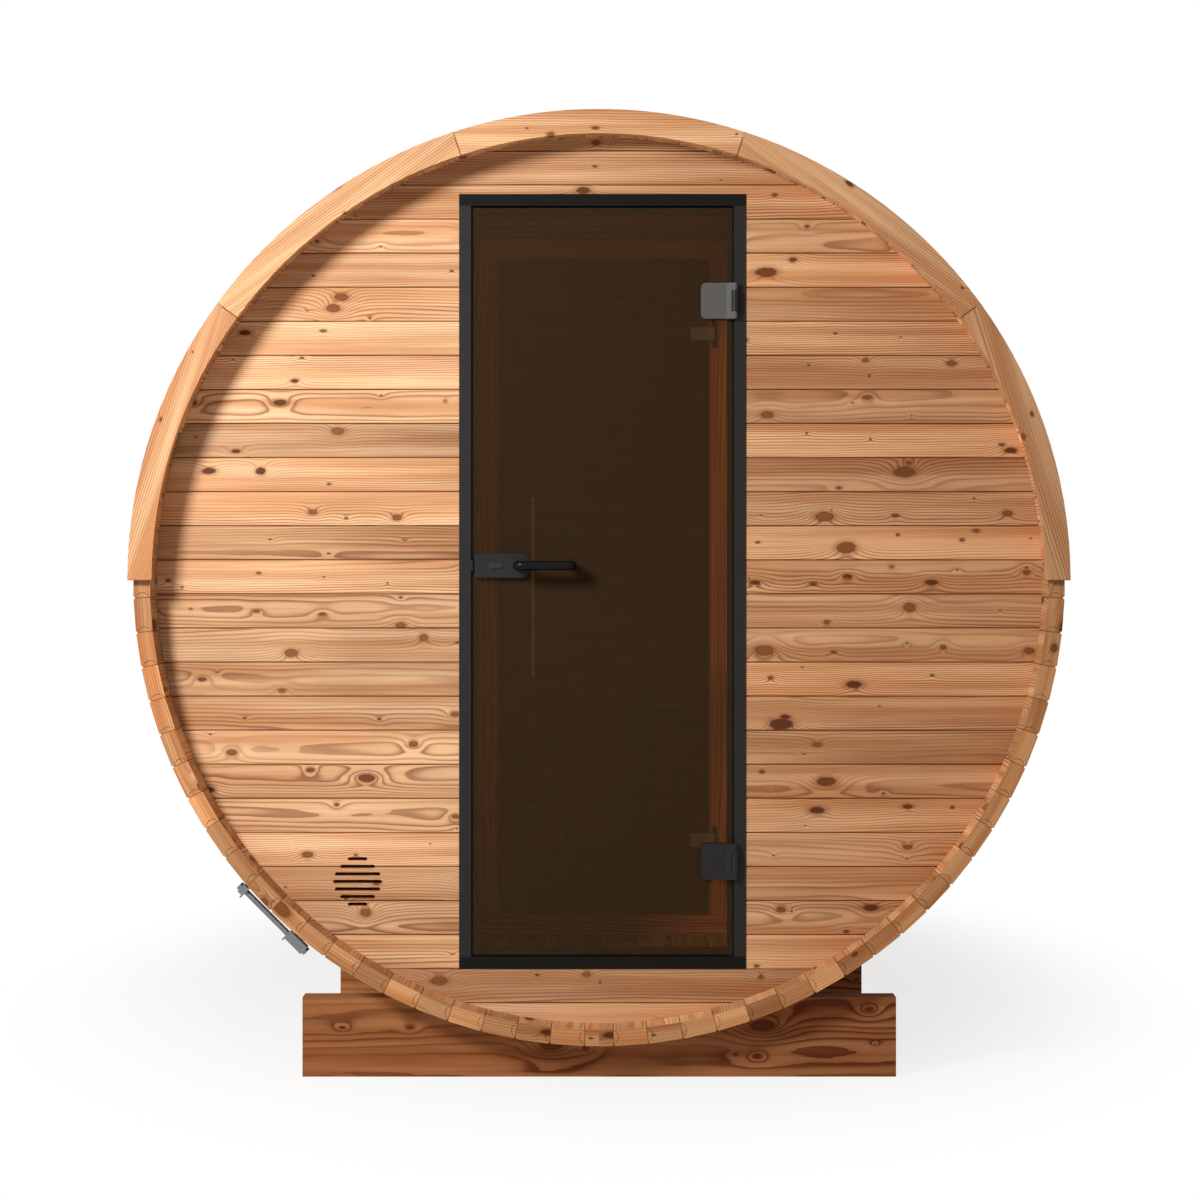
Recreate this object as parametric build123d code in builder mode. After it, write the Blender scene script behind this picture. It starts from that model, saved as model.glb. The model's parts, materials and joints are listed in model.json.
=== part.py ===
from build123d import *
import os
from math import cos, degrees, hypot, radians, sin, sqrt, tan

os.makedirs("parts", exist_ok=True)

# Barrel: long staves round an axis that runs from front to back
barrel_length = 2800.0
barrel_radius = 1120.0
stave_thickness = 40.0
staves_per_side = 41
key_stave_angle = 3.6
stave_seam = 1.2
bead_height = 12.0
bead_shoulder = 2.0
stave_chamfer = 3.5
groove_depth = 12.0
floor_staves_per_side = 7
lower_staves_per_side = 13
upper_staves_per_side = 14

# Cradle beams that carry the barrel
ground_clearance = 92.0
beam_width = 1450.0
beam_height = 194.0
beam_thickness = 50.0
beam_inset = 77.0
beam_spacing = 700.0

# Curved trim over the upper half of each end
trim_overhang = 10.0
trim_width = 58.0
trim_thickness = 20.0
trim_pieces = 5
trim_joint = 0.6

# End walls and inner partition
wall_thickness = 40.0
wall_recess = 73.0
wall_edge_gap = 1.0
partition_depth = 760.0

# Floor, above the lowest inner face of the staves
floor_rise = 103.0
floor_thickness = 28.0
floor_edge_gap = 1.5
floor_end_gap = 3.0
bearer_thickness = 45.0
vestibule_bearers = 2
hot_room_bearers = 4
bearer_fit = 0.2

# Air vent: a diamond of level slots through the lower left wall boards, beside the door frame
vent_inset = 248.0
vent_rise = 212.0
vent_boards_rise = 333.0
vent_pitch = 18.4
slot_height = 8.8
slot_lengths = (48.0, 85.0, 111.0, 120.0, 111.0, 85.0, 48.0)

# Front door frame
door_x = 8.0
frame_width = 700.0
frame_rise = 30.0
frame_head_room = 137.0
frame_face = 29.0
frame_depth = 60.0
frame_proud = 2.0
frame_stop = 14.0

# Glass leaves
glass_thickness = 8.0
leaf_gap = 5.5
stop_gap = 5.0

# Front door hinges
hinge_inset = 262.0
hinge_axis_inset = 27.0
hinge_axis_reach = 11.0
clamp_height = 87.0
clamp_length = 75.5
clamp_corner = 12.0
clamp_thickness = 12.0
back_clamp_thickness = 8.0
back_edge_gap = 15.5
ear_radius = 6.5
knuckle_radius = 9.0
knuckle_height = 51.0
pin_radius = 3.0
pin_clearance = 0.1
knuckle_end_gap = 0.5
knuckle_sweep_gap = 1.0
knuckle_jamb_gap = 1.0
clamp_edge_gap = 2.0

# Lock case, key cylinder and lever
lock_rise = 983.0
lock_edge_gap = 4.0
lock_length = 139.5
lock_height = 58.0
lock_thickness = 14.0
notch_length = 25.5
notch_height = 40.0
notch_gap = 2.0
cylinder_inset = 43.0
cylinder_radius = 8.5
cylinder_tail = 19.0
cylinder_tail_height = 10.0
cylinder_proud = 3.0
spindle_inset = 106.0
spindle_radius = 5.0
spindle_clearance = 0.1
spindle_glass_gap = 4.0
lever_radius = 11.5
lever_length = 142.5
lever_reach = 45.0
lever_bend = 14.0
lever_tip_gap = 8.0
lever_base_gap = 0.5
strike_height = 25.0
strike_thickness = 5.0
strike_depth = 15.0
strike_proud = 3.0

# Inner door: wood casing round a second glass leaf
casing_width = 694.0
casing_head_room = 139.0
casing_face = 50.0
casing_proud = 20.0
casing_stop = 12.0
inner_hinge_inset = 260.0
inner_axis_inset = 43.0
inner_axis_reach = 7.0
inner_clamp_height = 36.0
inner_clamp_length = 52.5
inner_clamp_thickness = 10.0
inner_clamp_stop_gap = 10.0
inner_ear_radius = 5.0
inner_knuckle_height = 75.0
inner_pin_radius = 2.0
handle_inset = 96.5
handle_length = 490.0
handle_radius = 6.0
handle_post_radius = 4.8
handle_reach = 45.0
handle_post_inset = 45.0

# Steel bands with their tensioners
band_width = 25.0
band_thickness = 1.5
band_lead = 14.5
band_gap_angle = 7.0
tensioner_angle = 225.0
tensioner_rod_radius = 7.0
tensioner_rod_reach = 19.0
tensioner_tab_thickness = 4.0
tensioner_tab_reach = 37.0
tensioner_box_length = 56.0
tensioner_box_height = 23.0
tensioner_block_length = 15.0
tensioner_foot_length = 34.0
tensioner_foot_thickness = 3.0

# Heater
heater_y = 850.0
heater_height = 709.0
heater_base_height = 60.0
heater_base_radius = 115.0
stone_belly_radius = 162.0
stone_foot_radius = 118.0
stone_belly_height = 330.0
cage_gap = 2.0
cage_bar_depth = 8.0
cage_bar_thickness = 5.0
cage_bars = 18
cage_hoops = 4
cage_hoop_inset = 2.0

# Sizes worked out from the ones above
centre_height = ground_clearance + barrel_radius
inner_radius = barrel_radius - stave_thickness
stave_pitch = (180 - key_stave_angle) / staves_per_side
groove_radius = inner_radius + groove_depth
wall_radius = groove_radius - wall_edge_gap
half_pitch = radians(stave_pitch / 2)
outer_half_width = barrel_radius * tan(half_pitch) - (stave_seam / 2 + stave_chamfer) / cos(half_pitch)
stave_corner_radius = hypot(barrel_radius, outer_half_width)
front_end = -barrel_length / 2
front_wall_y = front_end + wall_recess
rear_wall_y = -front_wall_y - wall_thickness
partition_y = front_end + partition_depth
floor_top = floor_rise - inner_radius
floor_bottom = floor_top - floor_thickness
frame_left = door_x - frame_width / 2
frame_right = door_x + frame_width / 2
frame_bottom = floor_top + frame_rise
frame_top = inner_radius - frame_head_room
casing_left = door_x - casing_width / 2
casing_right = door_x + casing_width / 2
casing_top = inner_radius - casing_head_room
lock_centre_z = frame_bottom + lock_rise
hinge_heights = (frame_bottom + hinge_inset, frame_top - hinge_inset)
inner_hinge_heights = (floor_top + inner_hinge_inset, casing_top - inner_hinge_inset)


def cross_plane(y):
    """The upright plane across the barrel at y, seen from the front, centred on the barrel's axis."""
    return Plane(origin=(0, y, centre_height), x_dir=(1, 0, 0), z_dir=(0, -1, 0))


def plan_plane(z):
    """The level plane at a height z above the barrel's axis."""
    return Plane.XY.offset(centre_height + z)


def region(x_low, z_low, x_high, z_high, mode=Mode.ADD):
    """A rectangle between two corners."""
    with Locations(((x_low + x_high) / 2, (z_low + z_high) / 2)):
        Rectangle(x_high - x_low, z_high - z_low, mode=mode)


def ring_piece(inner, outer, start, span):
    """A flat piece of a ring, its angles in degrees from the right."""
    with BuildSketch() as piece:
        with BuildLine():
            outer_arc = CenterArc((0, 0), outer, start, span)
            inner_arc = CenterArc((0, 0), inner, start, span)
            Line(outer_arc @ 0, inner_arc @ 0)
            Line(outer_arc @ 1, inner_arc @ 1)
        make_face()
    return piece.sketch


def save(builder, label):
    builder.part.label = label
    export_step(builder.part, f"parts/{label}.step")


# Staves: a bead on the upper long edge seats in the cove of the stave above it
bead = 1
cove = -1


def stave_edge(angle, shape):
    """The points down one long edge, from the inner corner to the chamfer at the outer face."""
    half = radians(angle / 2)
    outwards = Vector(sin(half), -cos(half))
    sideways = Vector(cos(half), sin(half))

    def on_joint(radius, proud):
        return outwards * radius + sideways * (proud - stave_seam / 2)

    def on_face(distance, setback):
        return Vector(distance * tan(half) - setback / cos(half), -distance)

    bead_start = inner_radius + bead_shoulder
    bead_end = barrel_radius - stave_chamfer
    return [
        on_face(inner_radius, stave_seam / 2),
        on_joint(bead_start, 0),
        on_joint((bead_start + bead_end) / 2, shape * bead_height),
        on_joint(bead_end, 0),
        on_face(barrel_radius, stave_seam / 2 + stave_chamfer),
    ]


def stave_section(angle, left, right):
    """A stave's section straight below the barrel's axis, with a bead or a cove on each edge."""
    right_edge = stave_edge(angle, right)
    left_edge = [Vector(-point.X, point.Y) for point in stave_edge(angle, left)]
    with BuildSketch() as section:
        with BuildLine():
            Line(left_edge[0], right_edge[0])
            for edge in (left_edge, right_edge):
                Line(edge[0], edge[1])
                ThreePointArc(edge[1], edge[2], edge[3])
                Line(edge[3], edge[4])
            Line(left_edge[4], right_edge[4])
        make_face()
    return section.sketch


right_stave = stave_section(stave_pitch, cove, bead)
left_stave = stave_section(stave_pitch, bead, cove)
bottom_key_stave = stave_section(key_stave_angle, bead, bead)
top_key_stave = stave_section(key_stave_angle, cove, cove)


def stave_angles(first, last, side):
    """Turns from the bottom to the regular staves first to last, counted upwards, on side +1 or -1."""
    return [side * (key_stave_angle / 2 + (n - 0.5) * stave_pitch) for n in range(first, last + 1)]


lower_end = floor_staves_per_side + lower_staves_per_side
upper_end = lower_end + upper_staves_per_side

stave_layout = {
    "floor_staves": [
        (bottom_key_stave, [0]),
        (right_stave, stave_angles(1, floor_staves_per_side, 1)),
        (left_stave, stave_angles(1, floor_staves_per_side, -1)),
    ],
    "right_lower_staves": [(right_stave, stave_angles(floor_staves_per_side + 1, lower_end, 1))],
    "left_lower_staves": [(left_stave, stave_angles(floor_staves_per_side + 1, lower_end, -1))],
    "right_upper_staves": [(right_stave, stave_angles(lower_end + 1, upper_end, 1))],
    "left_upper_staves": [(left_stave, stave_angles(lower_end + 1, upper_end, -1))],
    "roof_staves": [
        (top_key_stave, [180]),
        (right_stave, stave_angles(upper_end + 1, staves_per_side, 1)),
        (left_stave, stave_angles(upper_end + 1, staves_per_side, -1)),
    ],
}

for stave_label, stave_rows in stave_layout.items():
    with BuildPart() as staves:
        with BuildSketch(cross_plane(barrel_length / 2)):
            for stave_shape, turns in stave_rows:
                with Locations(*[Rotation(0, 0, turn) for turn in turns]):
                    add(stave_shape)
        extrude(amount=barrel_length)
        for groove_front in (front_wall_y, partition_y, rear_wall_y):
            with BuildSketch(cross_plane(groove_front + wall_thickness + wall_edge_gap)):
                Circle(groove_radius)
            extrude(amount=wall_thickness + 2 * wall_edge_gap, mode=Mode.SUBTRACT)
    save(staves, stave_label)

# Cradle beams: planks on edge, hollowed to the barrel
beam_fronts = {
    "cradle_beam_front": front_end + beam_inset,
    "cradle_beam_mid_front": front_end + beam_inset + beam_spacing,
    "cradle_beam_mid_rear": -front_end - beam_inset - beam_spacing - beam_thickness,
    "cradle_beam_rear": -front_end - beam_inset - beam_thickness,
}

for beam_label, beam_front in beam_fronts.items():
    with BuildPart() as beam:
        with BuildSketch(cross_plane(beam_front + beam_thickness)):
            region(-beam_width / 2, -centre_height, beam_width / 2, beam_height - centre_height)
            Circle(stave_corner_radius, mode=Mode.SUBTRACT)
        extrude(amount=beam_thickness)
    save(beam, beam_label)

# Trim: five curved boards over the upper half of each end
trim_outer_radius = barrel_radius + trim_overhang
trim_inner_radius = trim_outer_radius - trim_width
trim_joint_angle = degrees(trim_joint / trim_outer_radius)
trim_angle = 180 / trim_pieces
trim_board = ring_piece(
    trim_inner_radius, trim_outer_radius, trim_joint_angle / 2, trim_angle - trim_joint_angle
)

for trim_label, trim_back in (("front_trim", front_end), ("rear_trim", -front_end + trim_thickness)):
    with BuildPart() as trim:
        with BuildSketch(cross_plane(trim_back)):
            with PolarLocations(0, trim_pieces, 0, 180):
                add(trim_board)
        extrude(amount=trim_thickness)
    save(trim, trim_label)

# Front wall, in pieces round the door frame
reach = barrel_radius
vent_x = frame_left - vent_inset
vent_z = frame_bottom + vent_rise
vent_boards_top = frame_bottom + vent_boards_rise

front_wall_pieces = {
    "front_wall_left": (-reach, vent_boards_top, frame_left, frame_top),
    "front_wall_right": (frame_right, frame_bottom, reach, frame_top),
    "front_wall_top": (-reach, frame_top, reach, reach),
    "front_wall_bottom": (-reach, -reach, reach, frame_bottom),
}

for wall_label, corners in front_wall_pieces.items():
    with BuildPart() as wall:
        with BuildSketch(cross_plane(front_wall_y + wall_thickness)):
            Circle(wall_radius)
            region(*corners, mode=Mode.INTERSECT)
        extrude(amount=wall_thickness)
    save(wall, wall_label)

with BuildPart() as vent_boards:
    with BuildSketch(cross_plane(front_wall_y + wall_thickness)):
        Circle(wall_radius)
        region(-reach, frame_bottom, frame_left, vent_boards_top, mode=Mode.INTERSECT)
        for row, slot_length in enumerate(slot_lengths):
            slot_z = vent_z + (row - (len(slot_lengths) - 1) / 2) * vent_pitch
            with Locations((vent_x, slot_z)):
                SlotOverall(slot_length, slot_height, mode=Mode.SUBTRACT)
    extrude(amount=wall_thickness)
save(vent_boards, "front_wall_vent_boards")

# Rear wall
with BuildPart() as rear_wall:
    with BuildSketch(cross_plane(rear_wall_y + wall_thickness)):
        Circle(wall_radius)
    extrude(amount=wall_thickness)
save(rear_wall, "rear_wall")

# Inner partition, in pieces round the inner door's casing
partition_pieces = {
    "partition_left": (-reach, floor_top, casing_left, casing_top),
    "partition_right": (casing_right, floor_top, reach, casing_top),
    "partition_top": (-reach, casing_top, reach, reach),
    "partition_bottom": (-reach, -reach, reach, floor_top),
}

for wall_label, corners in partition_pieces.items():
    with BuildPart() as wall:
        with BuildSketch(cross_plane(partition_y + wall_thickness)):
            Circle(wall_radius)
            region(*corners, mode=Mode.INTERSECT)
        extrude(amount=wall_thickness)
    save(wall, wall_label)


def frame_rail(front, depth, stop_depth, outer, stop):
    """A head or sill: the full rail, with a stop behind the glass; outer and stop are corner pairs."""
    with BuildPart() as rail:
        with BuildSketch(cross_plane(front + depth)):
            region(*outer)
        extrude(amount=depth)
        with BuildSketch(cross_plane(front + depth)):
            region(*stop)
        extrude(amount=stop_depth)
    return rail


def frame_jambs(front, depth, stop_depth, half_width, low, high, face, stop):
    """The two upright jambs between head and sill, each with a stop behind the glass."""
    with BuildPart() as jambs:
        for side in (-1, 1):
            outer = door_x + side * half_width
            inner = outer - side * face
            lip = inner - side * stop
            with BuildSketch(cross_plane(front + depth)):
                region(min(outer, inner), low, max(outer, inner), high)
            extrude(amount=depth)
            with BuildSketch(cross_plane(front + depth)):
                region(min(inner, lip), low, max(inner, lip), high)
            extrude(amount=stop_depth)
    return jambs


# Front door frame
frame_front = front_wall_y - frame_proud
stop_depth = frame_depth - glass_thickness - stop_gap
opening_half_width = frame_width / 2 - frame_face
opening_top = frame_top - frame_face
opening_bottom = frame_bottom + frame_face
stop_half_width = opening_half_width - frame_stop

head = frame_rail(
    frame_front,
    frame_depth,
    stop_depth,
    (frame_left, opening_top, frame_right, frame_top),
    (door_x - stop_half_width, opening_top - frame_stop, door_x + stop_half_width, opening_top),
)
save(head, "door_frame_head")

sill = frame_rail(
    frame_front,
    frame_depth,
    stop_depth,
    (frame_left, frame_bottom, frame_right, opening_bottom),
    (door_x - stop_half_width, opening_bottom, door_x + stop_half_width, opening_bottom + frame_stop),
)
save(sill, "door_frame_sill")

jambs = frame_jambs(
    frame_front,
    frame_depth,
    stop_depth,
    frame_width / 2,
    opening_bottom,
    opening_top,
    frame_face,
    frame_stop,
)
save(jambs, "door_frame_jambs")

# Fixed halves of the front door's hinges: a knuckle on a web, with the pin through it
axis_x = frame_right - hinge_axis_inset
axis_y = frame_front - hinge_axis_reach
jamb_inner_x = door_x + opening_half_width

with BuildPart() as frame_hinges:
    for hinge_z in hinge_heights:
        with BuildSketch(plan_plane(hinge_z - knuckle_height / 2)):
            with Locations((axis_x, axis_y)):
                Circle(knuckle_radius)
            region(jamb_inner_x + knuckle_jamb_gap, axis_y, axis_x + knuckle_radius, frame_front)
        extrude(amount=knuckle_height)
        with BuildSketch(plan_plane(hinge_z - clamp_height / 2)):
            with Locations((axis_x, axis_y)):
                Circle(pin_radius)
        extrude(amount=clamp_height)
save(frame_hinges, "door_frame_hinges")

# Strike plate on the left jamb
with BuildPart() as strike:
    jamb_left_x = door_x - opening_half_width
    with BuildSketch(plan_plane(lock_centre_z - strike_height / 2)):
        region(
            jamb_left_x,
            frame_front - strike_proud,
            jamb_left_x + strike_thickness,
            frame_front - strike_proud + strike_depth,
        )
    extrude(amount=strike_height)
save(strike, "strike_plate")

# Front door leaf: one sheet of glass, notched and drilled for the lock
leaf_left = door_x - opening_half_width + leaf_gap
leaf_right = door_x + opening_half_width - leaf_gap
leaf_top = opening_top - leaf_gap
leaf_bottom = opening_bottom + leaf_gap
lock_left = leaf_left + lock_edge_gap
lock_right = lock_left + lock_length
back_lock_left = leaf_left + back_edge_gap
notch_right = leaf_left + notch_length
cylinder_x = lock_left + cylinder_inset
spindle_x = lock_left + spindle_inset

with BuildPart() as door_glass:
    with BuildSketch(cross_plane(frame_front + glass_thickness)):
        region(leaf_left, leaf_bottom, leaf_right, leaf_top)
        region(
            leaf_left,
            lock_centre_z - notch_height / 2,
            notch_right,
            lock_centre_z + notch_height / 2,
            mode=Mode.SUBTRACT,
        )
        with Locations((spindle_x, lock_centre_z)):
            Circle(spindle_radius + spindle_glass_gap, mode=Mode.SUBTRACT)
    extrude(amount=glass_thickness)
save(door_glass, "door_glass")


def clamp_outline(left, thickness, body_right, ear, hinge_x, hinge_y, glass_front):
    """The plan of a hinge clamp: a plate on the glass that runs out to a rolled ear round the pin."""
    with BuildSketch() as outline:
        region(left, glass_front - thickness, body_right, glass_front)
        with BuildLine():
            Polyline(
                (body_right - thickness, glass_front - thickness),
                (hinge_x, hinge_y - ear),
                (hinge_x, hinge_y + ear),
                (body_right, glass_front),
                close=True,
            )
        make_face()
        with Locations((hinge_x, hinge_y)):
            Circle(ear)
    return outline.sketch


clamp_right = leaf_right - clamp_edge_gap
clamp_left = leaf_right - clamp_length
front_clamp_plan = clamp_outline(
    clamp_left,
    clamp_thickness,
    clamp_right,
    ear_radius,
    axis_x,
    axis_y,
    frame_front,
)

with BuildPart() as hinge_clamps:
    for hinge_z in hinge_heights:
        with BuildSketch(plan_plane(hinge_z - clamp_height / 2)):
            add(front_clamp_plan)
        extrude(amount=clamp_height)
        with BuildSketch(plan_plane(hinge_z - knuckle_height / 2 - knuckle_end_gap)):
            with Locations((axis_x, axis_y)):
                Circle(knuckle_radius + knuckle_sweep_gap)
        extrude(amount=knuckle_height + 2 * knuckle_end_gap, mode=Mode.SUBTRACT)
        with BuildSketch(plan_plane(hinge_z - clamp_height / 2)):
            with Locations((axis_x, axis_y)):
                Circle(pin_radius + pin_clearance)
        extrude(amount=clamp_height, mode=Mode.SUBTRACT)
        with BuildSketch(cross_plane(frame_front + glass_thickness + back_clamp_thickness)):
            region(
                clamp_left,
                hinge_z - clamp_height / 2,
                leaf_right - back_edge_gap,
                hinge_z + clamp_height / 2,
            )
        extrude(amount=back_clamp_thickness)
    clamp_corners = hinge_clamps.edges().filter_by(Axis.Y).filter_by_position(
        Axis.X, clamp_left - 1, clamp_left + 1
    )
    fillet(clamp_corners, clamp_corner)
save(hinge_clamps, "door_hinge_clamps")

# Lock: a case on each face of the glass, joined through the notch
with BuildPart() as lock_case:
    lock_low = lock_centre_z - lock_height / 2
    lock_high = lock_centre_z + lock_height / 2
    round_x = lock_right - lock_height / 2
    back_lock_y = frame_front + glass_thickness
    for case_left, case_back in (
        (lock_left, frame_front),
        (back_lock_left, back_lock_y + lock_thickness),
    ):
        with BuildSketch(cross_plane(case_back)):
            region(case_left, lock_low, round_x, lock_high)
            with Locations((round_x, lock_centre_z)):
                Circle(lock_height / 2)
        extrude(amount=lock_thickness)
    with BuildSketch(cross_plane(back_lock_y)):
        region(
            back_lock_left,
            lock_centre_z - notch_height / 2 + notch_gap,
            notch_right - notch_gap,
            lock_centre_z + notch_height / 2 - notch_gap,
        )
    extrude(amount=glass_thickness)
    with BuildSketch(cross_plane(back_lock_y + lock_thickness)):
        with Locations((spindle_x, lock_centre_z)):
            Circle(spindle_radius + spindle_clearance)
    extrude(amount=glass_thickness + 2 * lock_thickness, mode=Mode.SUBTRACT)
save(lock_case, "lock_case")

with BuildPart() as key_cylinder:
    for cylinder_back in (
        frame_front - lock_thickness,
        back_lock_y + lock_thickness + cylinder_proud,
    ):
        with BuildSketch(cross_plane(cylinder_back)):
            with Locations((cylinder_x, lock_centre_z)):
                Circle(cylinder_radius)
            region(
                cylinder_x,
                lock_centre_z - cylinder_tail_height / 2,
                cylinder_x + cylinder_tail,
                lock_centre_z + cylinder_tail_height / 2,
            )
            with Locations((cylinder_x + cylinder_tail, lock_centre_z)):
                Circle(cylinder_tail_height / 2)
        extrude(amount=cylinder_proud)
save(key_cylinder, "key_cylinder")

# Lever: a round bar on each side, bent back towards the glass at its tip
lever_height = centre_height + lock_centre_z
lever_tip_x = spindle_x + lever_length - lever_radius
glass_middle_y = frame_front + glass_thickness / 2

with BuildPart() as door_lever:
    for side in (-1, 1):
        base_y = glass_middle_y + side * (glass_thickness / 2 + lock_thickness + lever_base_gap)
        bar_y = base_y + side * lever_reach
        tip_y = glass_middle_y + side * (glass_thickness / 2 + lever_tip_gap)
        with BuildLine() as lever_path:
            FilletPolyline(
                (spindle_x, base_y, lever_height),
                (spindle_x, bar_y, lever_height),
                (lever_tip_x, bar_y, lever_height),
                (lever_tip_x, tip_y, lever_height),
                radius=lever_bend,
            )
        with BuildSketch(Plane(origin=lever_path.line @ 0, z_dir=lever_path.line % 0)):
            Circle(lever_radius)
        sweep(path=lever_path.line)
    spindle_half = glass_thickness / 2 + lock_thickness + lever_base_gap
    with BuildSketch(cross_plane(glass_middle_y + spindle_half)):
        with Locations((spindle_x, lock_centre_z)):
            Circle(spindle_radius)
    extrude(amount=2 * spindle_half)
save(door_lever, "door_lever")

# Inner door casing
casing_front = partition_y - casing_proud
casing_depth = wall_thickness + casing_proud
casing_stop_depth = casing_depth - glass_thickness - stop_gap
inner_half_width = casing_width / 2 - casing_face
inner_top = casing_top - casing_face
inner_bottom = floor_top + casing_face
inner_stop_half_width = inner_half_width - casing_stop

casing_head = frame_rail(
    casing_front,
    casing_depth,
    casing_stop_depth,
    (casing_left, inner_top, casing_right, casing_top),
    (door_x - inner_stop_half_width, inner_top - casing_stop, door_x + inner_stop_half_width, inner_top),
)
save(casing_head, "inner_casing_head")

casing_sill = frame_rail(
    casing_front,
    casing_depth,
    casing_stop_depth,
    (casing_left, floor_top, casing_right, inner_bottom),
    (
        door_x - inner_stop_half_width,
        inner_bottom,
        door_x + inner_stop_half_width,
        inner_bottom + casing_stop,
    ),
)
save(casing_sill, "inner_casing_threshold")

casing_jambs = frame_jambs(
    casing_front,
    casing_depth,
    casing_stop_depth,
    casing_width / 2,
    inner_bottom,
    inner_top,
    casing_face,
    casing_stop,
)
save(casing_jambs, "inner_casing_jambs")

# Inner door leaf
inner_leaf_left = door_x - inner_half_width + leaf_gap
inner_leaf_right = door_x + inner_half_width - leaf_gap
inner_leaf_top = inner_top - leaf_gap
inner_leaf_bottom = inner_bottom + leaf_gap

with BuildPart() as inner_glass:
    with BuildSketch(cross_plane(casing_front + glass_thickness)):
        region(inner_leaf_left, inner_leaf_bottom, inner_leaf_right, inner_leaf_top)
    extrude(amount=glass_thickness)
save(inner_glass, "inner_door_glass")

inner_hinge_x = casing_right - inner_axis_inset
inner_hinge_y = casing_front - inner_axis_reach
inner_clamp_left = inner_leaf_right - inner_clamp_length
inner_clamp_plan = clamp_outline(
    inner_clamp_left,
    inner_clamp_thickness,
    inner_leaf_right - clamp_edge_gap,
    inner_ear_radius,
    inner_hinge_x,
    inner_hinge_y,
    casing_front,
)

with BuildPart() as inner_hinge_clamps:
    for hinge_z in inner_hinge_heights:
        with BuildSketch(plan_plane(hinge_z - inner_clamp_height / 2)):
            add(inner_clamp_plan)
            with Locations((inner_hinge_x, inner_hinge_y)):
                Circle(inner_pin_radius + pin_clearance, mode=Mode.SUBTRACT)
        extrude(amount=inner_clamp_height)
        with BuildSketch(cross_plane(casing_front + glass_thickness + back_clamp_thickness)):
            region(
                inner_clamp_left,
                hinge_z - inner_clamp_height / 2,
                door_x + inner_stop_half_width - inner_clamp_stop_gap,
                hinge_z + inner_clamp_height / 2,
            )
        extrude(amount=back_clamp_thickness)
save(inner_hinge_clamps, "inner_door_hinge_clamps")

# Fixed halves of the inner hinges: a knuckle above and below each clamp, on one pin
inner_knuckle_length = (inner_knuckle_height - inner_clamp_height) / 2 - knuckle_end_gap

with BuildPart() as inner_frame_hinges:
    for hinge_z in inner_hinge_heights:
        for low in (
            hinge_z - inner_knuckle_height / 2,
            hinge_z + inner_clamp_height / 2 + knuckle_end_gap,
        ):
            with BuildSketch(plan_plane(low)):
                with Locations((inner_hinge_x, inner_hinge_y)):
                    Circle(inner_ear_radius)
                region(
                    inner_hinge_x,
                    inner_hinge_y,
                    inner_hinge_x + inner_ear_radius,
                    casing_front,
                )
            extrude(amount=inner_knuckle_length)
        with BuildSketch(plan_plane(hinge_z - inner_knuckle_height / 2)):
            with Locations((inner_hinge_x, inner_hinge_y)):
                Circle(inner_pin_radius)
        extrude(amount=inner_knuckle_height)
save(inner_frame_hinges, "inner_casing_hinges")

# Pull bars, one on each face of the inner glass
pull_bar_middle = (floor_top + casing_top) / 2

with BuildPart() as pull_bars:
    bar_x = inner_leaf_left + handle_inset
    for side, face_y in ((-1, casing_front), (1, casing_front + glass_thickness)):
        bar_y = face_y + side * handle_reach
        with BuildSketch(plan_plane(pull_bar_middle - handle_length / 2)):
            with Locations((bar_x, bar_y)):
                Circle(handle_radius)
        extrude(amount=handle_length)
        for post_z in (
            pull_bar_middle - handle_length / 2 + handle_post_inset,
            pull_bar_middle + handle_length / 2 - handle_post_inset,
        ):
            with BuildSketch(cross_plane(max(face_y, bar_y))):
                with Locations((bar_x, post_z)):
                    Circle(handle_post_radius)
            extrude(amount=handle_reach)
save(pull_bars, "inner_door_pull_bars")

# Floor: decks across the bottom of both rooms, on bearers cut to the staves
deck_spans = {
    "vestibule_floor": (front_wall_y + wall_thickness + floor_end_gap, partition_y - floor_end_gap),
    "hot_room_floor": (partition_y + wall_thickness + floor_end_gap, rear_wall_y - floor_end_gap),
}

for deck_label, (deck_front, deck_back) in deck_spans.items():
    with BuildPart() as deck:
        with BuildSketch(cross_plane(deck_back)):
            Circle(inner_radius - floor_edge_gap)
            region(-reach, floor_bottom, reach, floor_top, mode=Mode.INTERSECT)
        extrude(amount=deck_back - deck_front)
    save(deck, deck_label)

bearer_counts = {"vestibule_floor": vestibule_bearers, "hot_room_floor": hot_room_bearers}

with BuildPart() as bearers:
    for deck_label, bearer_count in bearer_counts.items():
        deck_front, deck_back = deck_spans[deck_label]
        bearer_step = (deck_back - deck_front) / bearer_count
        for n in range(bearer_count):
            bearer_middle = deck_front + (n + 0.5) * bearer_step
            with BuildSketch(cross_plane(bearer_middle + bearer_thickness / 2)):
                Circle(inner_radius - bearer_fit)
                region(-reach, -reach, reach, floor_bottom, mode=Mode.INTERSECT)
            extrude(amount=bearer_thickness)
save(bearers, "floor_bearers")

# Steel bands: one beside each beam, open at the tensioner
band_inner = stave_corner_radius
band_outer = band_inner + band_thickness
band_middles = []
for beam_front in beam_fronts.values():
    if beam_front < 0:
        band_middles.append(beam_front - band_lead - band_width / 2)
    else:
        band_middles.append(beam_front + beam_thickness + band_lead + band_width / 2)

tensioner_turn = 90 - tensioner_angle
tangent_turn = radians(tensioner_turn - 90)
band_strip = ring_piece(
    band_inner, band_outer, tensioner_turn + band_gap_angle / 2, 360 - band_gap_angle
)

with BuildPart() as bands:
    for band_middle in band_middles:
        with BuildSketch(cross_plane(band_middle + band_width / 2)):
            add(band_strip)
        extrude(amount=band_width)
save(bands, "steel_bands")

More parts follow.
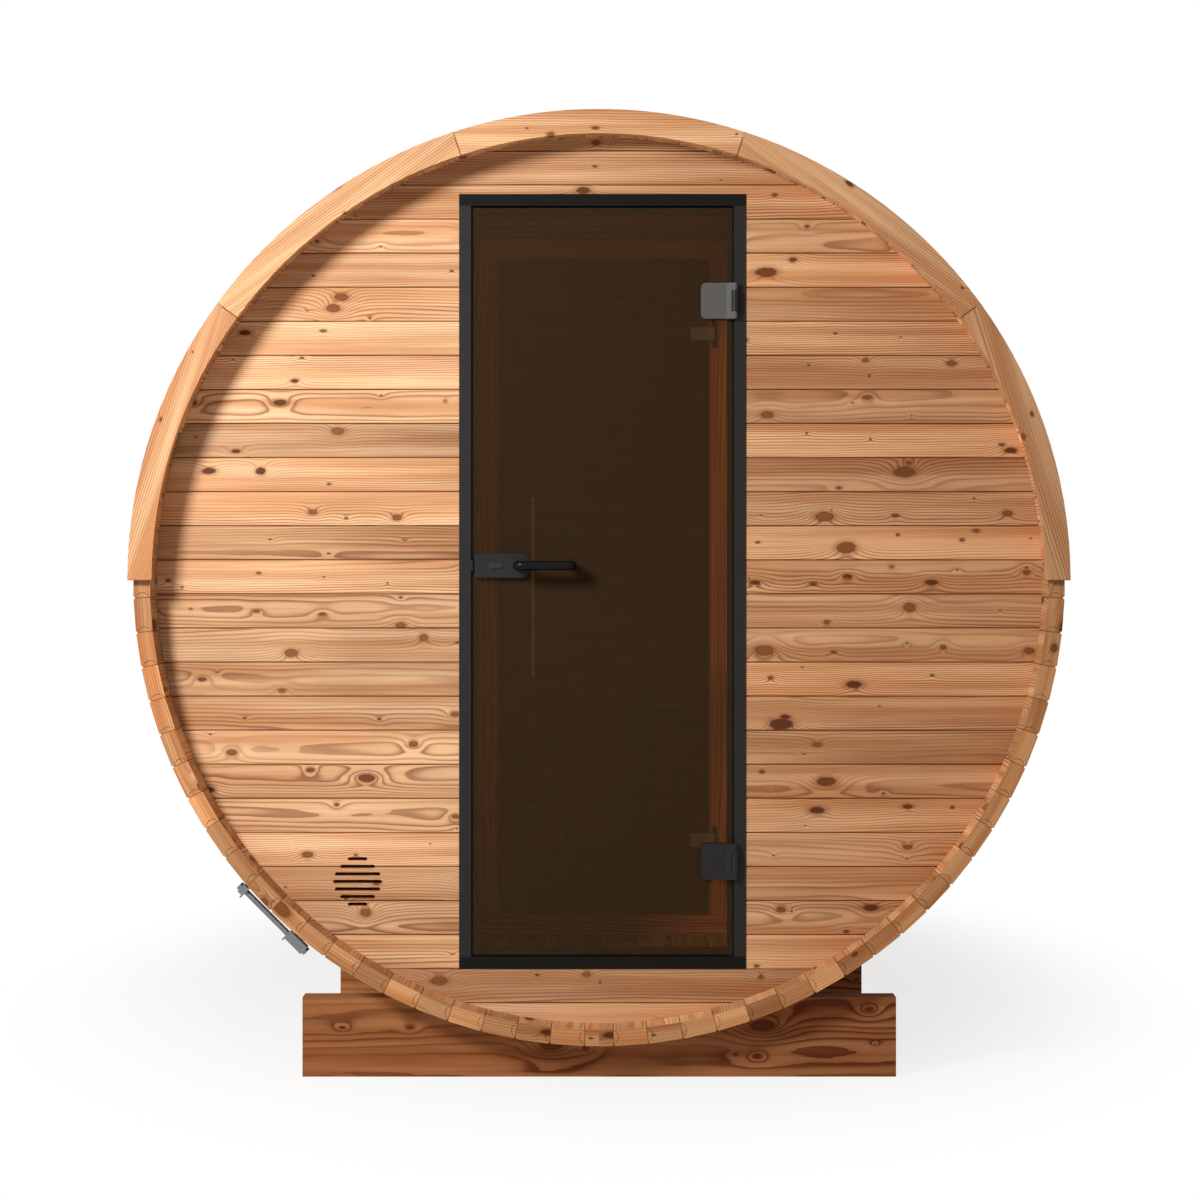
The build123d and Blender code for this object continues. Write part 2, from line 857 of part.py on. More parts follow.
# Tensioners: two upright tabs joined by a rod, with a spring box behind one and a block behind the other
rod_radius_line = band_outer + tensioner_rod_reach
tab_x = rod_radius_line * tan(radians(band_gap_angle / 2)) + tensioner_foot_thickness
foot_angle = degrees(tensioner_foot_length / band_outer)
foot_strip_right = ring_piece(
    band_outer, band_outer + tensioner_foot_thickness, 90 - band_gap_angle / 2 - foot_angle, foot_angle
)
foot_strip_left = ring_piece(
    band_outer, band_outer + tensioner_foot_thickness, 90 + band_gap_angle / 2, foot_angle
)
tab_foot_z = sqrt((band_outer + tensioner_foot_thickness / 2) ** 2 - tab_x**2)
tab_top_z = band_outer + tensioner_tab_reach
box_low_z = rod_radius_line - tensioner_box_height / 2

with BuildPart() as tensioners:
    for band_middle in band_middles:
        tangent_plane = Plane(
            origin=(0, band_middle, centre_height),
            x_dir=(cos(tangent_turn), 0, sin(tangent_turn)),
            z_dir=(0, -1, 0),
        )
        with BuildSketch(tangent_plane):
            add(foot_strip_right)
            add(foot_strip_left)
            for side in (-1, 1):
                with Locations((side * tab_x, (tab_foot_z + tab_top_z) / 2)):
                    Rectangle(tensioner_tab_thickness, tab_top_z - tab_foot_z)
            region(
                -tab_x - tensioner_box_length,
                box_low_z,
                -tab_x,
                box_low_z + tensioner_box_height,
            )
            region(
                tab_x,
                box_low_z,
                tab_x + tensioner_block_length,
                box_low_z + tensioner_box_height,
            )
        extrude(amount=band_width / 2, both=True)
        rod_start = tangent_plane.from_local_coords((-tab_x, rod_radius_line, 0))
        with BuildSketch(Plane(origin=rod_start, z_dir=tangent_plane.x_dir)):
            Circle(tensioner_rod_radius)
        extrude(amount=2 * tab_x)
save(tensioners, "band_tensioners")

# Heater: a pod of stones, domed at the top, in a basket of upright bars and hoops
heater_top = floor_top + heater_height
heater_foot = floor_top + heater_base_height
belly_z = floor_top + stone_belly_height
rim_z = heater_top - stone_belly_radius


def heater_plane(z):
    """A level plane centred on the heater."""
    return Plane(origin=(0, heater_y, centre_height + z))


def belly_radius_at(z, gap):
    """The pod's radius at a height, with a gap outside it: an arc from the foot to the upright belly."""
    if z >= belly_z:
        return stone_belly_radius + gap
    fall = belly_z - heater_foot
    inset = stone_belly_radius - stone_foot_radius
    arc_radius = (fall**2 + inset**2) / (2 * inset)
    return stone_belly_radius + gap - arc_radius + sqrt(arc_radius**2 - (belly_z - z) ** 2)


with BuildPart() as heater_base:
    with BuildSketch(heater_plane(floor_top)):
        Circle(heater_base_radius)
    extrude(amount=heater_base_height)
save(heater_base, "heater_base")

with BuildPart() as heater_stones:
    with BuildSketch(Plane(origin=(0, heater_y, centre_height), x_dir=(1, 0, 0), z_dir=(0, -1, 0))):
        with BuildLine():
            Polyline((0, heater_top), (0, heater_foot), (stone_foot_radius, heater_foot))
            TangentArc(
                (stone_belly_radius, belly_z), (stone_foot_radius, heater_foot), tangent=(0, -1)
            )
            Line((stone_belly_radius, belly_z), (stone_belly_radius, rim_z))
            CenterArc((0, rim_z), stone_belly_radius, 0, 90)
        make_face()
    revolve(axis=Axis((0, heater_y, 0), (0, 0, 1)))
save(heater_stones, "heater_stones")

bar_inner = cage_gap
bar_outer = cage_gap + cage_bar_depth

with BuildSketch() as cage_bar:
    with BuildLine():
        for bar_gap in (bar_inner, bar_outer):
            TangentArc(
                (stone_belly_radius + bar_gap, belly_z),
                (stone_foot_radius + bar_gap, heater_foot),
                tangent=(0, -1),
            )
            Line((stone_belly_radius + bar_gap, belly_z), (stone_belly_radius + bar_gap, rim_z))
        for end_radius, end_z in ((stone_foot_radius, heater_foot), (stone_belly_radius, rim_z)):
            Line((end_radius + bar_inner, end_z), (end_radius + bar_outer, end_z))
    make_face()

with BuildPart() as heater_cage:
    for n in range(cage_bars):
        bar_turn = radians((n + 0.5) * 360 / cage_bars)
        bar_plane = Plane(
            origin=(0, heater_y, centre_height),
            x_dir=(cos(bar_turn), sin(bar_turn), 0),
            z_dir=(sin(bar_turn), -cos(bar_turn), 0),
        )
        with BuildSketch(bar_plane):
            add(cage_bar.sketch)
        extrude(amount=cage_bar_thickness / 2, both=True)
    hoop_step = (rim_z - heater_foot - cage_bar_depth) / (cage_hoops - 1)
    for n in range(cage_hoops):
        hoop_z = heater_foot + n * hoop_step
        hoop_middle = hoop_z + cage_bar_depth / 2
        with BuildSketch(heater_plane(hoop_z)):
            Circle(belly_radius_at(hoop_middle, bar_outer - cage_hoop_inset))
            Circle(belly_radius_at(hoop_middle, bar_inner + cage_hoop_inset), mode=Mode.SUBTRACT)
        extrude(amount=cage_bar_depth)
save(heater_cage, "heater_cage")
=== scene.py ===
"""Barrel sauna: boards, stones, fastenings, finishes and a studio stage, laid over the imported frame."""

import json
from math import pi, radians, sqrt

import bmesh
import bpy
import numpy as np
from bpy.props import FloatProperty, FloatVectorProperty, PointerProperty
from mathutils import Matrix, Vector


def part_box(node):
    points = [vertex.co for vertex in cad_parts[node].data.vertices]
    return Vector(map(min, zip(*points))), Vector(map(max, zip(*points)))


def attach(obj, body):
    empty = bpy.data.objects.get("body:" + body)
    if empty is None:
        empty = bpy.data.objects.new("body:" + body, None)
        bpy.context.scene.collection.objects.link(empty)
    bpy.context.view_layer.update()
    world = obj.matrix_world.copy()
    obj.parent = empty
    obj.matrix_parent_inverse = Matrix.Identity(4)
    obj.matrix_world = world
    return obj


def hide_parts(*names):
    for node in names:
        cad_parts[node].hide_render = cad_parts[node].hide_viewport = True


bl_info = {
    "name": "Barrel Sauna",
    "version": (1, 0, 0),
    "blender": (4, 5, 0),
    "location": "3D View > Sidebar > Sauna",
    "description": "Boards, finishes and a studio stage for a barrel sauna",
    "category": "Object",
}

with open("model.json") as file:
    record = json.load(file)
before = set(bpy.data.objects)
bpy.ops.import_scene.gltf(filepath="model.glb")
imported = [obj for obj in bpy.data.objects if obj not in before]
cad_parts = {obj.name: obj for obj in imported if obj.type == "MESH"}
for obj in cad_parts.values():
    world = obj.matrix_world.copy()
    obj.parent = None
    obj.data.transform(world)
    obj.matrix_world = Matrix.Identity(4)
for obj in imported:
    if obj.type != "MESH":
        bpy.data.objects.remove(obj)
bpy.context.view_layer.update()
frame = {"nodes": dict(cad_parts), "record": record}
nodes = frame["nodes"]

# Places read from the frame
wall_low, wall_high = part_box("rear_wall")
axis_z = (wall_low.z + wall_high.z) / 2
wall_radius = (wall_high.x - wall_low.x) / 2
head_low, head_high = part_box("door_frame_head")
sill_low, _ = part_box("door_frame_sill")
frame_left, frame_right = head_low.x, head_high.x
frame_top, frame_bottom = head_high.z, sill_low.z
door_middle = (frame_left + frame_right) / 2
front_low, front_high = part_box("front_wall_left")
_, vent_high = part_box("front_wall_vent_boards")
partition_low, partition_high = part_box("partition_left")
casing_low, casing_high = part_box("inner_casing_head")
threshold_low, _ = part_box("inner_casing_threshold")
_, stave_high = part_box("roof_staves")
barrel_radius = stave_high.z - axis_z
leaf_low, leaf_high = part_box("door_glass")
inner_leaf_low, inner_leaf_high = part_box("inner_door_glass")

# Wall boards: their joints, and the rows that the doors part in two
board_joint_z = axis_z - 0.0329
joint_gap = 0.0009
tongue_reach = 0.008
tongue_front = 0.016
tongue_thickness = 0.008
seat_gap = 0.0003
board_backing = 0.002
row_below_doors, row_above_doors = -11.5, 10.5
rear_margin = 0.1

# Floor boards
floor_bevel = 0.0015
floor_edge_gap = 0.0015
narrowest_floor_board = 0.012

# Staves, trim boards and cradle beams
stave_inner_radius = 1.080
stave_thickness = 0.040
key_half_angle = radians(1.8)
staves_per_side = 41
stave_pitch_angle = (pi - 2 * key_half_angle) / staves_per_side
trim_board_angle = radians(36.0)
trim_middle_radius = 1.10
half_length = 1.42
beam_middle_z = 0.10

# Growth rings and knots: darkness from the start to the end of a ring, and for each kind of knot the
# smallest and largest radius and the stretch of board that holds one at most
ring_stops = (
    (0.0, 0.30), (0.10, 0.06), (0.34, 0.0), (0.62, 0.26), (0.84, 0.96), (0.91, 1.0), (1.0, 0.30)
)
pin_radii, pin_stretch = (0.0016, 0.0044), 0.165
knot_radii, knot_stretch = (0.0042, 0.0080), 0.215
burl_radii, burl_stretch = (0.0086, 0.0138), 0.47

# Board numbers choose each board's rings and knots. Each kind starts at its own number, and there are
# steps from left to right of the doors, from wall to wall, from room to room and to the rear trim
stave_number, trim_number, beam_number = 240.0, 403.0, 517.0
casing_number, floor_number, bearer_number = 611.0, 707.0, 811.0
side_step, wall_step, room_step, rear_step = 61.0, 131.0, 23.0, 9.0
wall_stretch, beam_stretch, bearer_stretch = 0.9, 0.5, 0.3
stretch_lead = 2.0
wall_grain_depth = 1.33

# Colours of the smaller parts and of the stage
# Painted reflection on the upper front hinge plate
painted_sheen_plate = (0.098, 0.096, 0.094)
lacquer = (0.0035, 0.0034, 0.0033)
brushed_steel = (0.78, 0.75, 0.70)
zinc = (0.20, 0.205, 0.21)
heater_dark = (0.085, 0.082, 0.080)
heater_rubbed = (0.15, 0.125, 0.10)
seal_black = (0.012, 0.011, 0.010)
stage_white = (0.93, 0.93, 0.925)
white = (1.0, 1.0, 1.0)

# Vent: level slots that together make a diamond
vent_inset, vent_rise = 0.248, 0.212
vent_middle = (frame_left - vent_inset, frame_bottom + vent_rise)
vent_pitch = 0.0184
vent_slot_height = 0.0088
vent_slot_lengths = (0.048, 0.085, 0.111, 0.120, 0.111, 0.085, 0.048)
cutter_overshoot = 0.01

# Door seals, and the screws of the front and the inner hinge plates
seal_inset = 0.004
seal_gap = 0.0006
seal_thickness = 0.0045
seal_width = 0.0075
plate_middle, screw_lift, screw_inset = 0.0435, 0.026, 0.030
screw_radius, screw_height = 0.0055, 0.0012
key_radius, key_height = 0.0030, 0.0004
inner_plate_middle, inner_screw_insets = 0.018, (0.014, 0.034)
inner_screw_radius, inner_screw_height = 0.0038, 0.0010

# Band tensioners, at the lower left of the barrel
band_width = 0.025
rod_distance = 0.019
tab_angle, tab_gap = radians(3.5), 0.003
rod_radius, thread_depth, thread_pitch = 0.0076, 0.14, 0.0030
rod_inset = 0.004
nut_width, nut_thickness = 0.018, 0.007
spring_box_length, block_length = 0.056, 0.015

# Heater stones: their number, the turn from one to the next, the spread of their half lengths along
# three axes, the flats split off each, the heap's taper at its foot, and the plain core inside
stone_count = 300
stone_turn = 2.39996
stone_sizes = ((0.026, 0.009), (0.021, 0.006), (0.016, 0.006))
stone_flats = 9
flat_distance, flat_spread, flat_depth = 0.66, 0.20, 0.95
heap_foot = 0.02
heap_inset = 0.024
taper_height, taper_depth = 0.27, 0.044
core_foot_inset, core_inset = 0.075, 0.03
core_shoulder_rise, core_shoulder, core_tip = 0.55, 0.66, 0.10
core_drop = 0.045
basket_seat = 0.001
basket_overlap = 0.0005

# Camera: level, straight in front, read from the photograph's perspective. The offset from the middle
# of the photograph to the middle of the view is in the photograph's pixels
camera_place = (0.036, -6.350, 1.212)
camera_lens = 61.74
photo_size = 1200
view_offset = (-14.0, -19.5)

# Stage
stage_half = 40.0
lamp_size = 0.9
lamp_place = (-2.3, -3.9, 2.8)
lamp_aim = (0.0, -1.3, 1.2)


class SaunaWood(bpy.types.PropertyGroup):
    """Colours of the heat treated wood."""

    light: FloatVectorProperty(
        name="Light wood",
        description="Colour of the early wood between the growth rings",
        subtype="COLOR", size=3, min=0.0, max=1.0, default=(0.86, 0.540, 0.305),
    )
    middle: FloatVectorProperty(
        name="Middle wood",
        description="Colour of the broad streaks along the grain",
        subtype="COLOR", size=3, min=0.0, max=1.0, default=(0.61, 0.300, 0.138),
    )
    ring: FloatVectorProperty(
        name="Ring lines",
        description="Colour of the late wood in the growth rings",
        subtype="COLOR", size=3, min=0.0, max=1.0, default=(0.200, 0.060, 0.020),
    )
    knot: FloatVectorProperty(
        name="Knots",
        description="Colour of the knots' hearts",
        subtype="COLOR", size=3, min=0.0, max=1.0, default=(0.330, 0.120, 0.042),
    )
    bark: FloatVectorProperty(
        name="Knot edge",
        description="Colour of the dark bark round each knot",
        subtype="COLOR", size=3, min=0.0, max=1.0, default=(0.072, 0.021, 0.007),
    )
    beam_tone: FloatProperty(
        name="Beam tone",
        description="Brightness of the cradle beams against the wall boards",
        subtype="FACTOR", min=0.2, max=1.5, default=0.44,
    )


class SaunaBoards(bpy.types.PropertyGroup):
    """Sizes of the wall and floor boards."""

    pitch: FloatProperty(
        name="Wall board height",
        description="Distance from one level joint to the next",
        unit="LENGTH", min=0.04, max=0.3, default=0.0832,
    )
    chamfer: FloatProperty(
        name="Chamfer",
        description="Width of the small bevel along each board's edges",
        unit="LENGTH", min=0.0005, max=0.01, default=0.0022,
    )
    floor_pitch: FloatProperty(
        name="Floor board width",
        description="Distance from one floor board to the next",
        unit="LENGTH", min=0.05, max=0.3, default=0.095,
    )
    floor_gap: FloatProperty(
        name="Floor gap",
        description="Open gap between two floor boards",
        unit="LENGTH", min=0.0, max=0.02, default=0.005,
    )


class SaunaFittings(bpy.types.PropertyGroup):
    """Colours of the metal, the glass and the stones."""

    powder_coat: FloatVectorProperty(
        name="Powder coat",
        description="Colour of the door frame, hinges and lock",
        subtype="COLOR", size=3, min=0.0, max=1.0, default=(0.0175, 0.0165, 0.0160),
    )
    glass: FloatVectorProperty(
        name="Glass tint",
        description="Colour of the bronze glass seen by itself",
        subtype="COLOR", size=3, min=0.0, max=1.0, default=(0.063, 0.0375, 0.0185),
    )
    glass_clear: FloatVectorProperty(
        name="Glass see-through",
        description="Colour that the bronze glass gives to what is seen through it",
        subtype="COLOR", size=3, min=0.0, max=1.0, default=(0.94, 0.82, 0.66),
    )
    glass_cover: FloatProperty(
        name="Glass cover",
        description="How much of what is behind it one leaf hides",
        subtype="FACTOR", min=0.0, max=1.0, default=0.36,
    )
    stone: FloatVectorProperty(
        name="Stones",
        description="Colour of the heater's stones",
        subtype="COLOR", size=3, min=0.0, max=1.0, default=(0.31, 0.31, 0.275),
    )


class SaunaStage(bpy.types.PropertyGroup):
    """Light of the studio."""

    key_power: FloatProperty(
        name="Key light",
        description="Power of the large soft lamp at the upper left front",
        unit="POWER", min=0.0, max=5000.0, default=148.0,
    )
    room_colour: FloatVectorProperty(
        name="Room colour",
        description="Colour of the even light from all round, a little warmed by the wood",
        subtype="COLOR", size=3, min=0.0, max=1.0, default=(1.0, 0.80, 0.64),
    )
    room_light: FloatProperty(
        name="Room light",
        description="Strength of the even light from all round",
        min=0.0, max=2.0, default=0.19,
    )


class Wire:
    """An output socket of a node tree, with arithmetic that adds Math nodes."""

    def __init__(self, graph, socket):
        self.graph = graph
        self.socket = socket

    def math(self, operation, other=None):
        inputs = {0: self} if other is None else {0: self, 1: other}
        return self.graph.add("ShaderNodeMath", {"operation": operation}, inputs)

    def __add__(self, other):
        return self.math("ADD", other)

    def __sub__(self, other):
        return self.math("SUBTRACT", other)

    def __rsub__(self, other):
        return self.graph.add("ShaderNodeMath", {"operation": "SUBTRACT"}, {0: other, 1: self})

    def __mul__(self, other):
        return self.math("MULTIPLY", other)

    def __truediv__(self, other):
        return self.math("DIVIDE", other)

    __radd__ = __add__
    __rmul__ = __mul__

    def above(self, level, softness):
        """Rises smoothly from 0 to 1 as the value passes from level to level plus softness."""
        return self.graph.add(
            "ShaderNodeMapRange",
            {"interpolation_type": "SMOOTHSTEP"},
            {"Value": self, "From Min": level, "From Max": level + softness},
        )


def greatest(first, *others):
    """The greatest of several values."""
    for other in others:
        first = first.math("MAXIMUM", other)
    return first


class Graph:
    """The nodes of a material or of the world, added one by one."""

    def __init__(self, tree):
        self.tree = tree

    def add(self, kind, settings=None, inputs=None, outlet=0):
        """Adds one node: its settings first, then the values or links of its sockets."""
        node = self.tree.nodes.new(kind)
        for name, value in (settings or {}).items():
            setattr(node, name, value)
        for key, value in (inputs or {}).items():
            self.feed(node.inputs[key], value)
        return Wire(self, node.outputs[outlet])

    def feed(self, socket, value):
        if isinstance(value, Wire):
            self.tree.links.new(value.socket, socket)
        elif isinstance(value, tuple) and len(value) == 3 and socket.type == "RGBA":
            socket.default_value = (*value, 1.0)
        else:
            socket.default_value = value

    def spot(self):
        """The object coordinates, as one vector."""
        return self.add("ShaderNodeTexCoord", outlet=3)

    def place(self):
        """The object coordinates, as three values."""
        return self.parts(self.spot())

    def vector(self, x, y, z=0.0):
        return self.add("ShaderNodeCombineXYZ", None, {0: x, 1: y, 2: z})

    def parts(self, vector):
        split = self.add("ShaderNodeSeparateXYZ", None, {0: vector})
        return [Wire(self, outlet) for outlet in split.socket.node.outputs]

    def noise(self, vector, scale=1.0, detail=2.0, roughness=0.5):
        return self.add(
            "ShaderNodeTexNoise",
            {"noise_dimensions": "3D"},
            {"Vector": vector, "Scale": scale, "Detail": detail, "Roughness": roughness},
        )

    def ramp(self, value, stops):
        """The level between the two stops round a value, each stop a place and a level."""
        grey = self.add("ShaderNodeValToRGB", None, {0: value})
        elements = grey.socket.node.color_ramp.elements
        for place, level in stops:
            stop = elements.new(place)
            stop.color = (level, level, level, 1.0)
        elements.remove(elements[0])
        elements.remove(elements[-1])
        return self.parts(grey)[0]

    def blend(self, factor, first, second):
        """A colour between two colours."""
        return self.add(
            "ShaderNodeMix",
            {"data_type": "RGBA", "blend_type": "MIX"},
            {0: factor, 6: first, 7: second},
            outlet=2,
        )

    def tone(self, colour, level):
        """A colour made brighter or darker by a value."""
        return self.add(
            "ShaderNodeVectorMath", {"operation": "SCALE"}, {0: colour, "Scale": level}
        )

    def tint(self, colour, shade):
        """A colour multiplied by another."""
        return self.add("ShaderNodeVectorMath", {"operation": "MULTIPLY"}, {0: colour, 1: shade})

    def seen(self):
        """1 for what the camera sees, straight, in a reflection or through glass, and 0 for light."""
        rays = self.add("ShaderNodeLightPath").socket.node.outputs
        return greatest(
            Wire(self, rays["Is Camera Ray"]),
            Wire(self, rays["Is Glossy Ray"]),
            Wire(self, rays["Is Transmission Ray"]),
        )


class Finish(Graph):
    """A material on the Principled shader, built node by node."""

    def __init__(self, name, **constants):
        self.material = bpy.data.materials.new(name)
        self.material.use_nodes = True
        super().__init__(self.material.node_tree)
        self.shader = self.tree.nodes["Principled BSDF"]
        for socket, value in constants.items():
            self.shader.inputs[socket.replace("_", " ")].default_value = value

    def set(self, socket, value):
        self.feed(self.shader.inputs[socket], value)

    def coat(self, colour, pattern, tone, roughness):
        """Colour and roughness that follow a pattern, each by the value where it is 0 and its rise."""
        self.set("Base Color", self.tone(colour, tone[0] + pattern * tone[1]))
        self.set("Roughness", roughness[0] + pattern * roughness[1])

    def bump(self, height, strength, distance):
        normal = self.add(
            "ShaderNodeBump", None, {"Height": height, "Strength": strength, "Distance": distance}
        )
        self.set("Normal", normal)

    def cover(self, share, clear, film):
        """Mixes two shaders on the surface, the second by a share."""
        mixed = self.add("ShaderNodeMixShader", None, {0: share, 1: clear, 2: film})
        self.feed(self.tree.nodes["Material Output"].inputs["Surface"], mixed)


class Knots:
    """Knots of one kind, one to each stretch of a board that holds one."""

    def __init__(self, finish, along, across, board, stretch, radii, share, width, ragged):
        """Keeps the smooth and the ragged distance from the knot in its own radii, whether there is
        one, how burnt it is, and a window that fades to nothing before the stretch ends.
        """
        place = along / stretch + board * 17.377
        cells = finish.add(
            "ShaderNodeTexVoronoi",
            {"voronoi_dimensions": "1D", "feature": "F1"},
            {"W": place, "Scale": 1.0, "Randomness": 0.55},
            outlet=1,
        )
        centre = Wire(finish, cells.socket.node.outputs["W"])
        chance, size, length = finish.parts(cells)
        lift = (chance / share - 0.5) * (width * 0.86)
        radius = radii[0] + size * size * (radii[1] - radii[0])
        step = place - centre
        reach_along = step * stretch / (1.20 + length * 1.1)
        reach_across = across - lift
        reach = (reach_along * reach_along + reach_across * reach_across).math("SQRT")
        self.smooth = reach / radius
        self.ragged = self.smooth * (0.80 + ragged * 0.40)
        self.there = chance.math("LESS_THAN", share)
        self.burnt = self.there * length.above(0.62, 0.25)
        self.window = self.there * (1.0 - step.math("ABSOLUTE").above(0.06, 0.30))

    def within(self, inner, outer):
        """1 inside the inner distance, falling to 0 at the outer one."""
        return self.there * (1.0 - self.ragged.above(inner, outer - inner))

    def pull(self, strength, fall):
        """How far the knot pushes the growth rings aside, less with the square of the distance."""
        return self.window * strength / (1.0 + self.smooth * self.smooth * fall)


def wood(finish, along, across, depth, board, ring_pitch=0.0056, tone=1.0, spread=0.40, knots=0.5,
         flow=1.0, width=0.083, shift=0.0, lines=1.0, tint=white):
    """Heat treated softwood on one board, from lengths along the grain, across it and into it.

    Growth rings are circles round a heart line beside the board, drawn out along it by slow noise.
    Each knot adds a bump to the ring field, so the rings run round it. The details are the width of a
    ring, the brightness and how far boards differ in it, the share of stretches with a knot, how much
    the rings wander, the board's width, the heart's place beside it and how dark the rings are.
    """
    look = bpy.context.scene.sauna_wood
    light, middle, dark = tuple(look.light), tuple(look.middle), tuple(look.ring)
    bark = tuple(look.bark)
    chance = finish.add("ShaderNodeTexWhiteNoise", {"noise_dimensions": "1D"}, {"W": board}, outlet=1)
    first, second, third = finish.parts(chance)
    run = along + first * 31.0
    wide = across + shift + (second - 0.5) * 0.19 + run * (third - 0.5) * 0.016
    deep = depth + 0.018 + third * 0.060

    def pattern(stretch, fine, offset, detail, roughness=0.5):
        """Noise drawn out along the grain, stretch to the metre along it and fine across it."""
        return finish.noise(
            finish.vector(run * stretch, across * fine, offset), detail=detail, roughness=roughness
        )

    ragged = pattern(70.0, 110.0, board, 1.0)
    pin = Knots(finish, run + 3.1, across, board, pin_stretch, pin_radii, knots, width, ragged)
    knot = Knots(finish, run, across, board, knot_stretch, knot_radii, knots * 0.84, width, ragged)
    burl = Knots(
        finish, run + 7.7, across, board, burl_stretch, burl_radii, knots * 0.6, width * 0.8, ragged
    )
    pull = pin.pull(1.2, 0.16) + knot.pull(2.6, 0.26) + burl.pull(5.0, 0.34)

    drift = pattern(0.9, 11.0, board * 5.3, 0.6)
    sway = pattern(3.0, 30.0, board * 2.3, 0.6)
    waver = pattern(9.0, 90.0, depth * 90.0 + board, 1.0)
    radius = (wide * wide + deep * deep).math("SQRT")
    field = radius / ring_pitch + drift * (6.0 * flow) + sway * (1.6 * flow) + waver * 0.22 + pull
    ring = finish.ramp(field.math("FRACT"), ring_stops)
    fibre = pattern(6.0, 270.0, depth * 270.0, 3.0, 0.6)
    streak = pattern(1.0, 30.0, depth * 30.0 + board * 2.1, 3.0)
    cloud = pattern(3.2, 9.0, board * 1.7, 2.0)
    faint = pattern(0.9, 12.0, board * 3.3, 1.0).above(0.28, 0.44)

    colour = finish.blend(streak.above(0.30, 0.38), light, middle)
    colour = finish.blend(ring * (0.22 + faint * 0.58) * lines, colour, dark)
    colour = finish.blend(second * second * 0.30, colour, dark)
    level = 1.0 + (first - 0.5) * spread + (fibre - 0.5) * 0.40 + (cloud - 0.5) * 0.30
    colour = finish.tone(colour, level * tone)

    halo = greatest(knot.within(0.8, 3.0), burl.within(0.8, 2.5), pin.within(0.8, 3.0) * 0.7)
    edge = greatest(knot.within(1.00, 1.22), burl.within(1.00, 1.14), pin.within(0.85, 1.35))
    heart = greatest(knot.within(0.74, 1.00), burl.within(0.84, 1.00))
    swirl = (knot.ragged.math("MINIMUM", burl.ragged) * 24.0).math("SINE") * 0.30 + 0.80
    burnt = greatest(knot.burnt, burl.burnt * 0.6)
    core = finish.blend(burnt * 0.75, tuple(look.knot), bark)
    colour = finish.blend(halo * halo * 0.62, colour, finish.tone(dark, 1.25 * tone))
    colour = finish.blend(edge * 0.74, colour, finish.tone(bark, tone))
    colour = finish.blend(heart * 0.92, colour, finish.tone(core, swirl * (tone * (0.75 + fibre * 0.5))))
    finish.set("Base Color", finish.tint(colour, tint))
    finish.set("Roughness", 0.50 + fibre * 0.22 - heart * 0.08)
    finish.bump(fibre, 0.55, 0.0004)


def painted_joint_shade_tint(finish, painted_joint_shade, red=1.0, green=1.0, blue=1.0):
    """The tint of a board's face, with painted shade turning it dark red brown towards its joints."""
    return finish.vector(
        red * (1.0 - painted_joint_shade * 0.48), green * (1.0 - painted_joint_shade * 0.68), blue * (1.0 - painted_joint_shade * 0.78)
    )


def stretch_number(y, stretch):
    """The number of the stretch along the barrel that a place lies in, to tell walls or beams apart."""
    return ((y + stretch_lead) / stretch).math("FLOOR")


def wall_wood(name):
    """Level wall boards: the grain runs across the barrel, one board to each joint."""
    finish = Finish(name, Specular_IOR_Level=0.10)
    x, y, z = finish.place()
    pitch = bpy.context.scene.sauna_boards.pitch
    height = (z - board_joint_z) / pitch
    row = height.math("FLOOR")
    parted = row.math("LESS_THAN", row_above_doors) * row.math("GREATER_THAN", row_below_doors)
    ahead = y.math("LESS_THAN", wall_low.y - rear_margin)
    side = x.math("GREATER_THAN", door_middle) * parted * ahead
    board = row + side * side_step + stretch_number(y, wall_stretch) * wall_step
    place = height - row - 0.5
    # Painted shade: each board darkens towards its joints with its neighbours.
    painted_joint_shade = place.math("ABSOLUTE").above(0.477, 0.016)
    # Painted shade: all wall boards turn darker and redder towards the right, away from the lamp at the
    # left.
    right = x.above(-0.30, 1.1)
    tint = painted_joint_shade_tint(finish, painted_joint_shade, 1.0 - right * 0.06, 1.0 - right * 0.14, 1.0 - right * 0.21)
    wood(finish, x, place * pitch, y + wall_grain_depth, board, tint=tint)
    return finish.material


def stave_wood(name):
    """Staves: the grain runs along the barrel, one board to each joint round it."""
    finish = Finish(name, Specular_IOR_Level=0.10)
    x, y, z = finish.place()
    height = z - axis_z
    turn = x.math("ARCTAN2", 0.0 - height)
    count = (turn.math("ABSOLUTE") - key_half_angle) / stave_pitch_angle
    stave = count.math("FLOOR")
    side = turn.math("SIGN")
    radius = (x * x + height * height).math("SQRT")
    share = count - stave - 0.5
    # Painted shade: each stave darkens towards its joints with its neighbours.
    painted_joint_shade = share.math("ABSOLUTE").above(0.478, 0.018)
    across = radius * share * (side * stave_pitch_angle)
    depth = radius - (barrel_radius - stave_thickness)
    end = finish.add("ShaderNodeNewGeometry", outlet=1)
    end = finish.parts(end)[1].math("ABSOLUTE").math("GREATER_THAN", 0.7)
    grain = y + (across - y) * end
    wide = across + (depth - stave_thickness / 2 - across) * end
    deep = depth + (y * 0.01 - depth) * end
    board = stave * side + stave_number + end * 0.5
    tint = painted_joint_shade_tint(finish, painted_joint_shade, 0.94 - end * 0.14, 0.87 - end * 0.19, 0.78 - end * 0.23)
    wood(finish, grain, wide, deep, board, spread=0.46, flow=0.8, lines=1.0 - end * 0.4, tint=tint)
    return finish.material


